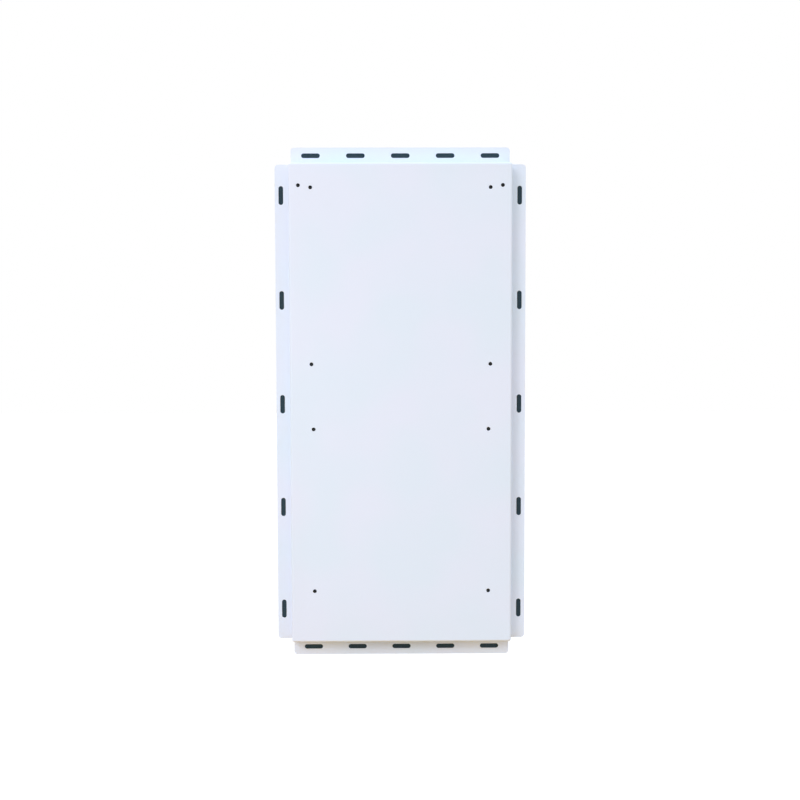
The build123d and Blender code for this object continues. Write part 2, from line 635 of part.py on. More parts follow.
RELAY_LEFT, RELAY_RIGHT = 74.0, 110.0
RELAY_TALL, RELAY_HIGH = 44.0, 13.0
RELAY_CORNER_R = 2.0
with BuildPart() as relay:
    with BuildSketch(facing(PLATE_BACK + RELAY_HIGH)):
        with Locations(((RELAY_LEFT + RELAY_RIGHT) / 2, NEGATIVE_Z)):
            Rectangle(RELAY_RIGHT - RELAY_LEFT, RELAY_TALL)
    extrude(amount=RELAY_HIGH)
    fillet(relay.edges().filter_by(Axis.Y), RELAY_CORNER_R)
write(relay, "relay")


# ------------------------------------------------------------- recessed connector bay

EARTH_X = 94.0
NEGATIVE_X, POSITIVE_X = 72.0, 48.0
BREAKER_X = 2.0
PORT_X = (-44.0, -62.0)
BUTTON_X = -82.0
LENS_X = -97.0
BREAKER_LONG, BREAKER_WIDE, BREAKER_TALL = 62.0, 18.0, 48.0
BREAKER_SCREW_X = 19.0
WINDOW_LONG, WINDOW_WIDE = 24.0, 9.6
BAY_SCREW_R, BAY_SCREW_LONG = 1.5, 8.0
BAY_HOLE_GAP = 0.1          # round what passes through the plate
PORT_WIDE, PORT_DEEP = 16.0, 14.0
PORT_SHROUD = 0.8           # shroud beyond the body, on all sides
PORT_MOUTH_WIDE, PORT_MOUTH_DEEP = 11.8, 8.2
PORT_LATCH_WIDE, PORT_LATCH_DEEP = 4.0, 1.5
PORT_STANDS = 14.0          # shroud below the plate
PORT_HOLLOW = 13.0          # depth of the mouth in it
SOCKET_R, SOCKET_COLLAR_R, SOCKET_BODY_R, SOCKET_BORE_R = 8.0, 9.0, 7.5, 6.0
SOCKET_KEY = 3.0            # square keyway in the bore
SWITCH_BODY_R = 6.9
LENS_LONG, LENS_WIDE = 8.0, 3.5
BODY_HIGH = 15.0            # sockets and ports behind the plate

with BuildPart() as bay_pocket:
    with BuildSketch(Plane.XY.offset(-WALL_IN_Z)):
        with Locations((0, BAY_MID_Y)):
            RectangleRounded(2 * (BAY_HALF + BAY_SHEET), BAY_DEEP_Y + 2 * BAY_SHEET,
                             BAY_CORNER_R + BAY_SHEET)
            RectangleRounded(2 * BAY_HALF, BAY_DEEP_Y, BAY_CORNER_R, mode=Mode.SUBTRACT)
    extrude(amount=ROOF_UNDER + WALL_IN_Z)
write(bay_pocket, "bay_pocket")

with BuildPart() as bay_plate:
    with BuildSketch(Plane.XY.offset(ROOF_UNDER)):
        with Locations((0, BAY_MID_Y)):
            RectangleRounded(2 * (BAY_HALF + BAY_SHEET), BAY_DEEP_Y + 2 * BAY_SHEET,
                             BAY_CORNER_R + BAY_SHEET)
        with Locations((BREAKER_X, BAY_MID_Y)):
            Rectangle(WINDOW_LONG, WINDOW_WIDE, mode=Mode.SUBTRACT)
            with GridLocations(2 * BREAKER_SCREW_X, 0, 2, 1):
                Circle(BAY_SCREW_R + BAY_HOLE_GAP, mode=Mode.SUBTRACT)
        with Locations(*[(x, BAY_MID_Y) for x in PORT_X]):
            Rectangle(PORT_WIDE + 2 * BAY_HOLE_GAP, PORT_DEEP + 2 * BAY_HOLE_GAP,
                      mode=Mode.SUBTRACT)
        with Locations((NEGATIVE_X, BAY_MID_Y), (POSITIVE_X, BAY_MID_Y)):
            Circle(SOCKET_BODY_R + BAY_HOLE_GAP, mode=Mode.SUBTRACT)
        with Locations((BUTTON_X, BAY_MID_Y)):
            Circle(SWITCH_BODY_R + BAY_HOLE_GAP, mode=Mode.SUBTRACT)
        with Locations((LENS_X, BAY_MID_Y)):
            SlotOverall(LENS_LONG + 2 * BAY_HOLE_GAP, LENS_WIDE + 2 * BAY_HOLE_GAP, rotation=90,
                        mode=Mode.SUBTRACT)
    extrude(amount=BAY_SHEET)
write(bay_plate, "bay_plate")

SOCKET_MOUTH = -393.2
SOCKET_FLOOR = ROOF_UNDER - 2.0
CONTACT_TOP = -356.0
CONTACT_R, CONTACT_BASE_R = 3.0, 4.0
CONTACT_LONG = 8.0
CONTACT_GAP = 0.05          # base of a contact to its socket
TIP_CHAMFER = 0.8


def dc_socket(x):
    with BuildPart() as socket:
        with BuildSketch(Plane.XY.offset(SOCKET_MOUTH)):
            with Locations((x, BAY_MID_Y)):
                Circle(SOCKET_R)
        extrude(amount=ROOF_UNDER - SOCKET_MOUTH)
        with BuildSketch(Plane.XY.offset(SOCKET_FLOOR)):
            with Locations((x, BAY_MID_Y)):
                Circle(SOCKET_COLLAR_R)
        extrude(amount=ROOF_UNDER - SOCKET_FLOOR)
        with BuildSketch(Plane.XY.offset(ROOF_UNDER)):
            with Locations((x, BAY_MID_Y)):
                Circle(SOCKET_BODY_R)
        extrude(amount=BODY_HIGH)
        with BuildSketch(Plane.XY.offset(SOCKET_MOUTH)):
            with Locations((x, BAY_MID_Y)):
                Circle(SOCKET_BORE_R)
            with Locations((x, BAY_MID_Y - SOCKET_BORE_R - SOCKET_KEY / 6)):
                Rectangle(SOCKET_KEY, SOCKET_KEY)
        extrude(amount=SOCKET_FLOOR - SOCKET_MOUTH, mode=Mode.SUBTRACT)
        with BuildSketch(Plane.XY.offset(SOCKET_FLOOR)):
            with Locations((x, BAY_MID_Y)):
                Circle(CONTACT_BASE_R + CONTACT_GAP)
        extrude(amount=ROOF_UNDER - SOCKET_FLOOR + BODY_HIGH, mode=Mode.SUBTRACT)
    return socket


write(dc_socket(POSITIVE_X), "dc_socket_positive")
write(dc_socket(NEGATIVE_X), "dc_socket_negative")

with BuildPart() as dc_contacts:
    with BuildSketch(Plane.XY.offset(SOCKET_FLOOR)):
        with Locations((NEGATIVE_X, BAY_MID_Y), (POSITIVE_X, BAY_MID_Y)):
            Circle(CONTACT_BASE_R)
    extrude(amount=CONTACT_TOP - SOCKET_FLOOR)
    with BuildSketch(Plane.XY.offset(SOCKET_FLOOR - CONTACT_LONG)):
        with Locations((NEGATIVE_X, BAY_MID_Y), (POSITIVE_X, BAY_MID_Y)):
            Circle(CONTACT_R)
    extrude(amount=CONTACT_LONG)
    chamfer(dc_contacts.edges().group_by(Axis.Z)[0], TIP_CHAMFER)
write(dc_contacts, "dc_contacts")

with BuildPart() as data_ports:
    with BuildSketch(Plane.XY.offset(ROOF_UNDER - PORT_STANDS)):
        with Locations(*[(x, BAY_MID_Y) for x in PORT_X]):
            RectangleRounded(PORT_WIDE + 2 * PORT_SHROUD, PORT_DEEP + 2 * PORT_SHROUD, PORT_SHROUD)
            Rectangle(PORT_MOUTH_WIDE, PORT_MOUTH_DEEP, mode=Mode.SUBTRACT)
        latch_y = BAY_MID_Y + PORT_MOUTH_DEEP / 2
        with Locations(*[(x, latch_y) for x in PORT_X]):
            Rectangle(PORT_LATCH_WIDE, 2 * PORT_LATCH_DEEP, mode=Mode.SUBTRACT)
    extrude(amount=PORT_HOLLOW)
    with BuildSketch(Plane.XY.offset(ROOF_UNDER - PORT_STANDS + PORT_HOLLOW)):
        with Locations(*[(x, BAY_MID_Y) for x in PORT_X]):
            RectangleRounded(PORT_WIDE + 2 * PORT_SHROUD, PORT_DEEP + 2 * PORT_SHROUD, PORT_SHROUD)
    extrude(amount=PORT_STANDS - PORT_HOLLOW)
    with BuildSketch(Plane.XY.offset(ROOF_UNDER)):
        with Locations(*[(x, BAY_MID_Y) for x in PORT_X]):
            Rectangle(PORT_WIDE, PORT_DEEP)
    extrude(amount=BODY_HIGH)
write(data_ports, "data_ports")

SOCKET_NUT_R, SWITCH_NUT_R = 9.8, 9.4
NUT_HIGH = 3.0
with BuildPart() as bay_nuts:
    with BuildSketch(Plane.XY.offset(BAY_ROOF)):
        with Locations((NEGATIVE_X, BAY_MID_Y), (POSITIVE_X, BAY_MID_Y)):
            RegularPolygon(radius=SOCKET_NUT_R, side_count=6)
            Circle(SOCKET_BODY_R + SLACK, mode=Mode.SUBTRACT)
        with Locations((BUTTON_X, BAY_MID_Y)):
            RegularPolygon(radius=SWITCH_NUT_R, side_count=6)
            Circle(SWITCH_BODY_R + SLACK, mode=Mode.SUBTRACT)
    extrude(amount=NUT_HIGH)
write(bay_nuts, "bay_nuts")

# Breaker: the toggle's barrel turns on trunnions inside the body, above the roof's window
TOGGLE_Z = BAY_ROOF + 3.5
TOGGLE_R = 6.0
TOGGLE_WIDE = 7.0
TOGGLE_GAP = 0.3
TRUNNION_R = 1.5
TRUNNION_LONG = 2.0
TRUNNION_GAP = 0.05
TOGGLE_TILT = 18.0
LEVER_LONG = 17.5
LEVER_THICK = 5.0
LEVER_ROUND = 1.5
POCKET_R = TOGGLE_R + TOGGLE_GAP
BREAKER_CORNER_R = 1.0
BOSS_GAP = 0.15             # breaker's boss to the plate's window
TERMINAL_X = 17.0
TERMINAL_WIDE, TERMINAL_DEEP = 14.0, 10.0
TERMINAL_TOP = -312.0
toggle_plane = Plane.XZ.offset(-BAY_MID_Y)

with BuildPart() as breaker_body:
    with BuildSketch(Plane.XY.offset(BAY_ROOF)):
        with Locations((BREAKER_X, BAY_MID_Y)):
            RectangleRounded(BREAKER_LONG, BREAKER_WIDE, BREAKER_CORNER_R)
    extrude(amount=BREAKER_TALL)
    with BuildSketch(Plane.XY.offset(ROOF_UNDER)):
        with Locations((BREAKER_X, BAY_MID_Y)):
            Rectangle(WINDOW_LONG - 2 * BOSS_GAP, WINDOW_WIDE - 2 * BOSS_GAP)
    extrude(amount=BAY_SHEET)
    with BuildSketch(toggle_plane):
        with Locations((BREAKER_X, TOGGLE_Z)):
            Circle(POCKET_R)
        with Locations((BREAKER_X, (TOGGLE_Z + ROOF_UNDER) / 2)):
            Rectangle(2 * POCKET_R, TOGGLE_Z - ROOF_UNDER)
    extrude(amount=TOGGLE_WIDE / 2 + TOGGLE_GAP, both=True, mode=Mode.SUBTRACT)
    with BuildSketch(toggle_plane):
        with Locations((BREAKER_X, TOGGLE_Z)):
            Circle(TRUNNION_R + TRUNNION_GAP)
    extrude(amount=TOGGLE_WIDE / 2 + TRUNNION_LONG + TOGGLE_GAP, both=True, mode=Mode.SUBTRACT)
    with BuildSketch(Plane.XY.offset(BAY_ROOF)):
        with Locations((BREAKER_X, BAY_MID_Y)):
            with GridLocations(2 * BREAKER_SCREW_X, 0, 2, 1):
                Circle(BAY_SCREW_R)
    extrude(amount=BAY_SCREW_LONG, mode=Mode.SUBTRACT)
write(breaker_body, "breaker_body")

lever_plane = Plane(
    origin=(BREAKER_X, BAY_MID_Y, TOGGLE_Z), x_dir=(1, 0, 0), z_dir=(0, -1, 0)
).rotated((0, -TOGGLE_TILT, 0))
with BuildPart() as breaker_toggle:
    with BuildSketch(toggle_plane):
        with Locations((BREAKER_X, TOGGLE_Z)):
            Circle(TOGGLE_R)
    extrude(amount=TOGGLE_WIDE / 2, both=True)
    with BuildSketch(lever_plane):
        with Locations((0, -LEVER_LONG / 2)):
            Rectangle(LEVER_THICK, LEVER_LONG)
    extrude(amount=TOGGLE_WIDE / 2, both=True)
    tips = breaker_toggle.edges().filter_by(Axis.Y).sort_by(Axis.Z)[:2]
    fillet(tips, LEVER_ROUND)
    with BuildSketch(toggle_plane):
        with Locations((BREAKER_X, TOGGLE_Z)):
            Circle(TRUNNION_R)
    extrude(amount=TOGGLE_WIDE / 2 + TRUNNION_LONG, both=True)
write(breaker_toggle, "breaker_toggle")

BAY_HEAD_HIGH = 1.6
BAY_HEAD_ROUND = 0.6
BAY_HEX_R, BAY_HEX_DEEP = 1.15, 1.0
with BuildPart() as bay_screws:
    with BuildSketch(Plane.XY.offset(ROOF_UNDER)):
        with Locations((BREAKER_X, BAY_MID_Y)):
            with GridLocations(2 * BREAKER_SCREW_X, 0, 2, 1):
                Circle(BAY_SCREW_R - SLACK)
    extrude(amount=BAY_SCREW_LONG)
    with BuildSketch(Plane.XY.offset(ROOF_UNDER - BAY_HEAD_HIGH)):
        with Locations((BREAKER_X, BAY_MID_Y)):
            with GridLocations(2 * BREAKER_SCREW_X, 0, 2, 1):
                Circle(M3_HEAD_R)
    extrude(amount=BAY_HEAD_HIGH)
    fillet(bay_screws.edges().group_by(Axis.Z)[0], BAY_HEAD_ROUND)
    with BuildSketch(Plane.XY.offset(ROOF_UNDER - BAY_HEAD_HIGH)):
        with Locations((BREAKER_X, BAY_MID_Y)):
            with GridLocations(2 * BREAKER_SCREW_X, 0, 2, 1):
                RegularPolygon(radius=BAY_HEX_R, side_count=6)
    extrude(amount=BAY_HEX_DEEP, mode=Mode.SUBTRACT)
write(bay_screws, "bay_screws")

# Power switch: a sprung button that slides 2 mm into its threaded housing
BEZEL_LOW = ROOF_UNDER - 3.0
BEZEL_R, BEZEL_ROUND = 8.0, 1.0
BUTTON_R, BUTTON_ROUND = 5.3, 0.8
BUTTON_GAP = 0.1
BUTTON_LONG = 14.0
BUTTON_TRAVEL = 2.0
SWITCH_BODY_HIGH = 16.0
SWITCH_WELL_TOP = -369.0
with BuildPart() as switch_housing:
    with BuildSketch(Plane.XY.offset(BEZEL_LOW)):
        with Locations((BUTTON_X, BAY_MID_Y)):
            Circle(BEZEL_R)
    extrude(amount=ROOF_UNDER - BEZEL_LOW)
    fillet(switch_housing.edges().group_by(Axis.Z)[0], BEZEL_ROUND)
    with BuildSketch(Plane.XY.offset(ROOF_UNDER)):
        with Locations((BUTTON_X, BAY_MID_Y)):
            Circle(SWITCH_BODY_R)
    extrude(amount=SWITCH_BODY_HIGH)
    with BuildSketch(Plane.XY.offset(BEZEL_LOW)):
        with Locations((BUTTON_X, BAY_MID_Y)):
            Circle(BUTTON_R + BUTTON_GAP)
    extrude(amount=SWITCH_WELL_TOP - BEZEL_LOW, mode=Mode.SUBTRACT)
write(switch_housing, "switch_housing")

with BuildPart() as power_button:
    with BuildSketch(Plane.XY.offset(BEZEL_LOW - BUTTON_TRAVEL)):
        with Locations((BUTTON_X, BAY_MID_Y)):
            Circle(BUTTON_R)
    extrude(amount=BUTTON_LONG)
    fillet(power_button.edges().group_by(Axis.Z)[0], BUTTON_ROUND)
write(power_button, "power_button")

LENS_PROUD = 0.6
LENS_RIM_LONG, LENS_RIM_WIDE, LENS_RIM = 10.5, 6.0, 1.2
with BuildPart() as status_lens:
    with BuildSketch(Plane.XY.offset(ROOF_UNDER - LENS_PROUD)):
        with Locations((LENS_X, BAY_MID_Y)):
            SlotOverall(LENS_LONG, LENS_WIDE, rotation=90)
    extrude(amount=BAY_SHEET + LENS_PROUD)
    with BuildSketch(Plane.XY.offset(BAY_ROOF)):
        with Locations((LENS_X, BAY_MID_Y)):
            SlotOverall(LENS_RIM_LONG, LENS_RIM_WIDE, rotation=90)
    extrude(amount=LENS_RIM)
write(status_lens, "status_lens")

EARTH_R, EARTH_COLLAR_R = 3.0, 5.0
EARTH_LONG = 13.0
with BuildPart() as earth_stud:
    with BuildSketch(Plane.XY.offset(SOCKET_FLOOR)):
        with Locations((EARTH_X, BAY_MID_Y)):
            Circle(EARTH_COLLAR_R)
    extrude(amount=ROOF_UNDER - SOCKET_FLOOR)
    with BuildSketch(Plane.XY.offset(SOCKET_FLOOR - EARTH_LONG)):
        with Locations((EARTH_X, BAY_MID_Y)):
            Circle(EARTH_R)
    extrude(amount=EARTH_LONG)
    chamfer(earth_stud.edges().group_by(Axis.Z)[0], TIP_CHAMFER)
write(earth_stud, "earth_stud")


# --------------------------------------------------------- copper bars, leads and screws

FLAT_BAR = 1.7              # bar that links the lower module to the fuse
LOWER_LUG_TOP = LOWER_MIDDLE + LUG_Z + LUG_HALF
LOWER_LUG_X = CELL_COLUMN_X - TAB_X
LINK_BAR_X = FUSE_LEFT - FUSE_BLOCK - 4
NEGATIVE_LUG_Z = -345.0
BAR_LEFT = LOWER_LUG_X - LUG_WIDE / 2
BAR_RIGHT = LINK_BAR_X + FUSE_BLOCK / 2
BOARD_BAR_TOP = -20.0
RELAY_BAR_LEFT, RELAY_BAR_TALL = 50.0, 12.0
BREAKER_BAR_LEFT, BREAKER_BAR_RIGHT, BREAKER_BAR_TALL = 26.0, 54.0, 12.0
NEGATIVE_BLOCK_WIDE = 20.0

with BuildPart() as copper_bars:
    with BuildSketch(facing(LEAD_Y + LUG_HALF)):
        with Locations((LINK_BAR_X, (LINK_Z + LOWER_LUG_TOP) / 2)):
            Rectangle(FUSE_BLOCK, LINK_Z - LOWER_LUG_TOP + FUSE_BLOCK)
        with Locations(((BAR_LEFT + BAR_RIGHT) / 2, LOWER_LUG_TOP + FUSE_BLOCK / 2)):
            Rectangle(BAR_RIGHT - BAR_LEFT, FUSE_BLOCK)
        with Locations((LINK_BAR_X, LOWER_LUG_TOP - FUSE_BLOCK / 4)):
            Rectangle(FUSE_BLOCK, FUSE_BLOCK / 2, mode=Mode.SUBTRACT)
    extrude(amount=FLAT_BAR)
    with BuildSketch(facing(BOARD_BACK + BAR)):
        with Locations((-LOWER_LUG_X, (LOWER_LUG_TOP + BOARD_BAR_TOP) / 2)):
            Rectangle(LUG_WIDE, BOARD_BAR_TOP - LOWER_LUG_TOP)
    extrude(amount=BAR)
    with BuildSketch(facing(BOARD_BACK + BAR / 2)):
        with Locations(((RELAY_BAR_LEFT + RELAY_LEFT) / 2, NEGATIVE_Z)):
            Rectangle(RELAY_LEFT - RELAY_BAR_LEFT, RELAY_BAR_TALL)
    extrude(amount=BAR / 2)
    with BuildSketch(facing(BAY_MID_Y + BAR / 2)):
        with Locations(((BREAKER_BAR_LEFT + BREAKER_BAR_RIGHT) / 2,
                        TERMINAL_TOP - BREAKER_BAR_TALL / 2)):
            Rectangle(BREAKER_BAR_RIGHT - BREAKER_BAR_LEFT, BREAKER_BAR_TALL)
        with Locations((POSITIVE_X, (TERMINAL_TOP + CONTACT_TOP) / 2)):
            Rectangle(BREAKER_BAR_TALL, TERMINAL_TOP - CONTACT_TOP)
    extrude(amount=BAR)
    block_top = NEGATIVE_LUG_Z + LUG_WIDE / 2
    with BuildSketch(facing(LEAD_Y + LUG_HALF)):
        with Locations((NEGATIVE_X + LUG_HALF, (CONTACT_TOP + block_top) / 2)):
            Rectangle(NEGATIVE_BLOCK_WIDE, block_top - CONTACT_TOP)
    extrude(amount=2 * LUG_HALF)
write(copper_bars, "copper_bars")

with BuildPart() as breaker_terminals:
    with BuildSketch(Plane.XY.offset(BAY_ROOF + BREAKER_TALL)):
        with Locations((BREAKER_X, BAY_MID_Y)):
            with GridLocations(2 * TERMINAL_X, 0, 2, 1):
                Rectangle(TERMINAL_WIDE, TERMINAL_DEEP)
    extrude(amount=TERMINAL_TOP - BAY_ROOF - BREAKER_TALL)
write(breaker_terminals, "breaker_terminals")

NEGATIVE_LUG_X = NEGATIVE_X + LUG_HALF + NEGATIVE_BLOCK_WIDE / 2
LEAD_X = 176.0
LEAD_BEND = 20.0
POSITIVE_RUN_Z = -317.0


def lead(points, radius, bend):
    """A round lead along straight runs that are joined by tangent arcs."""
    with BuildPart() as tube:
        with BuildLine() as route:
            if len(points) > 2:
                FilletPolyline(*points, radius=bend)
            else:
                Line(*points)
        start = Plane(route.line @ 0, z_dir=route.line % 0)
        with BuildSketch(start):
            Circle(radius)
        sweep(path=route.line)
    print(f"lead {route.wires()[0].length:.1f} mm, volume over section"
          f" {tube.part.volume / (pi * radius ** 2):.1f} mm")
    return tube


lug_edge = LOWER_LUG_X + LUG_WIDE / 2
write(lead([(-lug_edge, LEAD_Y, TOP_LUG_Z), (-LEAD_X, LEAD_Y, TOP_LUG_Z),
            (-LEAD_X, LEAD_Y, POSITIVE_RUN_Z),
            (BREAKER_X - TERMINAL_X - TERMINAL_WIDE / 2, LEAD_Y, POSITIVE_RUN_Z)],
           LEAD_R, LEAD_BEND), "lead_positive")
write(lead([(lug_edge, LEAD_Y, TOP_LUG_Z), (LEAD_X, LEAD_Y, TOP_LUG_Z),
            (LEAD_X, LEAD_Y, LINK_Z), (FUSE_RIGHT + FUSE_BLOCK, LEAD_Y, LINK_Z)],
           LEAD_R, LEAD_BEND), "lead_link")
write(lead([(RELAY_RIGHT, LEAD_Y, NEGATIVE_Z), (LEAD_X, LEAD_Y, NEGATIVE_Z),
            (LEAD_X, LEAD_Y, NEGATIVE_LUG_Z), (NEGATIVE_LUG_X, LEAD_Y, NEGATIVE_LUG_Z)],
           LEAD_R, LEAD_BEND), "lead_negative")

SENSE_R = 1.5
SENSE_BEND = 12.0
SENSE_Y = -10.2
SENSE_X = 168.0
SENSE_END_X = -126.0        # at the upper socket on the board
PLUG_X = -66.0
PLUG_WIDE, PLUG_DEEP = 12.0, 3.8
PLUG_BACK = SENSE_Y + 1.7
UPPER_PLUG_TOP = TOP_LUG_Z + 4.0
LOWER_PLUG_TOP, LOWER_SENSE_TOP = -50.0, -22.0
write(lead([(PLUG_X, SENSE_Y, TOP_LUG_Z), (-SENSE_X, SENSE_Y, TOP_LUG_Z),
            (-SENSE_X, SENSE_Y, SENSE_Z), (SENSE_END_X, SENSE_Y, SENSE_Z)],
           SENSE_R, SENSE_BEND), "sense_lead_upper")
write(lead([(0, SENSE_Y, LOWER_PLUG_TOP), (0, SENSE_Y, LOWER_SENSE_TOP)],
           SENSE_R, SENSE_BEND), "sense_lead_lower")

with BuildPart() as sense_plugs:
    for x, middle, top in ((PLUG_X + PLUG_WIDE / 2, UPPER_MIDDLE, UPPER_PLUG_TOP),
                           (0, LOWER_MIDDLE, LOWER_PLUG_TOP)):
        low = middle + TAB_TOP + BAR
        with BuildSketch(facing(PLUG_BACK)):
            with Locations((x, (low + top) / 2)):
                Rectangle(PLUG_WIDE, top - low)
        extrude(amount=PLUG_DEEP)
write(sense_plugs, "sense_plugs")

# Screws from behind into the clinch nuts, each on the face of what it holds
SCREW_SEATS = [
    (DUCT_NUTS, DUCT_FLOOR_BACK),
    (both_sides(UPPER_NUT_X, UPPER_NUT_TOP) + both_sides(LOWER_NUT_X, LOWER_NUT_LOW), EAR_BACK),
    (both_sides(UPPER_NUT_X, UPPER_NUT_LOW) + both_sides(LOWER_NUT_X, LOWER_NUT_TOP), PLATE_BACK),
]
with BuildPart() as nut_screws:
    for places, seat in SCREW_SEATS:
        with BuildSketch(facing(seat)):
            with Locations(*places):
                Circle(SCREW_R)
        extrude(amount=seat - SCREW_TIP)
        with BuildSketch(facing(seat + SCREW_HEAD_HIGH)):
            with Locations(*places):
                Circle(SCREW_HEAD_R)
        extrude(amount=SCREW_HEAD_HIGH)
        with BuildSketch(facing(seat + SCREW_HEAD_HIGH)):
            with Locations(*places):
                RegularPolygon(radius=SCREW_HEX_R, side_count=6)
        extrude(amount=SCREW_HEX_DEEP, mode=Mode.SUBTRACT)
write(nut_screws, "nut_screws")
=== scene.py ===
import json
from math import cos, radians, sin, tau

import bmesh
import bpy
from mathutils import Matrix, Vector

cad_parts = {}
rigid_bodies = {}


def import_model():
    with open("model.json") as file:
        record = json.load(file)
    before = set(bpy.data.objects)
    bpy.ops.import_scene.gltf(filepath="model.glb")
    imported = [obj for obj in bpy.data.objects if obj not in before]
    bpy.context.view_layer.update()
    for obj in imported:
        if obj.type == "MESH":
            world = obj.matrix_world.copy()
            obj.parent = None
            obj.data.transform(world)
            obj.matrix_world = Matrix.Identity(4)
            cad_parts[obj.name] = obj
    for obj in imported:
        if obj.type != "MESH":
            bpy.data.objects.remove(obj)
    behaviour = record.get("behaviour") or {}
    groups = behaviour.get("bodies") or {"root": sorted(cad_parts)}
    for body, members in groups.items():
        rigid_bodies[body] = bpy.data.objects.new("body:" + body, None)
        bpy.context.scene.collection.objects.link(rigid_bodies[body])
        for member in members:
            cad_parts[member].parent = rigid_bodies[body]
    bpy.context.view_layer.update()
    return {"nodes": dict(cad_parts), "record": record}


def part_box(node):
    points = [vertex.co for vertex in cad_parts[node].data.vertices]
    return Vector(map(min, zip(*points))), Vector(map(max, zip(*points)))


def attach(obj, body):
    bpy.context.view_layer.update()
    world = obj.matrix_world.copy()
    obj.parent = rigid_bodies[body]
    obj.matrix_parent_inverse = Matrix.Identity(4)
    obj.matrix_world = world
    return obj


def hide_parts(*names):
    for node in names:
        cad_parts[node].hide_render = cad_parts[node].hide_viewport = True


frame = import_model()
nodes = frame["nodes"]


# ---- The studio ----
# The unit hangs in the open, above a plain floor and in front of white. A pale sky lights
# it, with a wide lamp on the left, a small one near the panel and one behind, and the
# floor sends warm light up from below. The camera's turns are in degrees.

MM = 0.001
CAMERA_PLACE = (-22 * MM, -2.2, 152 * MM)
CAMERA_LENS = 57.69
CAMERA_SENSOR = 36
CAMERA_FAR = 200
CAMERA_TURN, CAMERA_TIP, CAMERA_ROLL = -0.534, -3.781, -0.15
WHITE = (1, 1, 1, 1)
FLOOR_DROP = 2.3
FLOOR_REACH = 30
FLOOR_WARM = (0.54, 0.31, 0.08, 1)
FLOOR_PALE = (0.97, 0.97, 0.97, 1)
FLOOR_GLOW = 1.1
FLOOR_SHOWN = 0.88
SKY_COOL = (0.739, 0.841, 1.0, 1)
SKY_LEVEL = 1.31
LAMPS = [
    # name, place, width, watts, colour
    ("key", (-3.4, -6.4, 4.6), 3.0, 150, (0.85, 0.88, 1.0)),
    ("near", (-0.55, -1.1, 0.0), 0.5, 1.3, (0.85, 0.88, 1.0)),
    ("back", (-1.6, 2.6, 2.2), 1.8, 60, (0.85, 0.9, 1.0)),
]


class Value:
    """One output of a node. Arithmetic on it adds Math nodes to its tree."""

    def __init__(self, tree, socket):
        self.tree = tree
        self.socket = socket

    def math(self, operation, *terms):
        return self.tree.node("ShaderNodeMath", {"operation": operation}, dict(enumerate(terms)))

    def __add__(self, other):
        return self.math("ADD", self, other)

    def __radd__(self, other):
        return self.math("ADD", other, self)

    def __sub__(self, other):
        return self.math("SUBTRACT", self, other)

    def __mul__(self, other):
        return self.math("MULTIPLY", self, other)

    def __rmul__(self, other):
        return self.math("MULTIPLY", other, self)


class Tree:
    """A node tree in the making: node() adds one node and gives back one of its outputs."""

    def __init__(self, tree):
        self.tree = tree

    def node(self, kind, settings=None, sockets=None, out=0):
        node = self.tree.nodes.new(kind)
        for name, value in (settings or {}).items():
            if name == "stops":
                ramp = node.color_ramp.elements
                while len(ramp) < len(value):
                    ramp.new(1)
                for stop, (position, colour) in zip(ramp, value):
                    stop.position = position
                    stop.color = colour
            else:
                setattr(node, name, value)
        for name, value in (sockets or {}).items():
            if isinstance(value, Value):
                self.tree.links.new(value.socket, node.inputs[name])
            else:
                node.inputs[name].default_value = value
        return Value(self, node.outputs[out]) if node.outputs else None

    def looked_at(self):
        """1 for rays that see something or its reflection, 0 for rays that light it."""
        seen = self.node("ShaderNodeLightPath", out="Is Camera Ray")
        paths = seen.socket.node.outputs
        for name in ("Is Glossy Ray", "Is Transmission Ray"):
            seen = seen.math("MAXIMUM", seen, Value(self, paths[name]))
        return seen


def add_object(name, data):
    made = bpy.data.objects.new(name, data)
    bpy.context.scene.collection.objects.link(made)
    return made


world = bpy.data.worlds.new("studio")
bpy.context.scene.world = world
world.use_nodes = True
world.node_tree.nodes.clear()
sky = Tree(world.node_tree)
bright = sky.node("ShaderNodeBackground", sockets={"Color": WHITE, "Strength": 1.0})
cool = sky.node("ShaderNodeBackground", sockets={"Color": SKY_COOL, "Strength": SKY_LEVEL})
either = sky.node("ShaderNodeMixShader", sockets={0: sky.looked_at(), 1: cool, 2: bright})
sky.node("ShaderNodeOutputWorld", sockets={"Surface": either})

floor_paint = bpy.data.materials.new("studio_floor")
floor_paint.use_nodes = True
floor_paint.node_tree.nodes.clear()
ground = Tree(floor_paint.node_tree)
warm = ground.node("ShaderNodeBsdfDiffuse", sockets={"Color": FLOOR_WARM})
pale = ground.node("ShaderNodeBsdfDiffuse", sockets={"Color": FLOOR_PALE})
glow = ground.node("ShaderNodeEmission", sockets={"Color": WHITE, "Strength": FLOOR_GLOW})
shown = ground.node("ShaderNodeMixShader", sockets={0: FLOOR_SHOWN, 1: pale, 2: glow})
either = ground.node("ShaderNodeMixShader", sockets={0: ground.looked_at(), 1: warm, 2: shown})
ground.node("ShaderNodeOutputMaterial", sockets={"Surface": either})
floor_mesh = bpy.data.meshes.new("floor")
floor_mesh.from_pydata(
    [(x * FLOOR_REACH, y * FLOOR_REACH, -FLOOR_DROP)
     for x, y in ((-1, -1), (1, -1), (1, 1), (-1, 1))],
    [], [(0, 1, 2, 3)])
floor_mesh.materials.append(floor_paint)
add_object("floor", floor_mesh)

for name, place, size, watts, colour in LAMPS:
    lamp = bpy.data.lights.new(name, "AREA")
    lamp.shape = "DISK"
    lamp.size = size
    lamp.energy = watts
    lamp.color = colour
    lamp_object = add_object(name, lamp)
    turned_to = (-Vector(place)).to_track_quat("-Z", "Y").to_matrix().to_4x4()
    lamp_object.matrix_world = Matrix.Translation(place) @ turned_to
    lamp_object.visible_camera = False

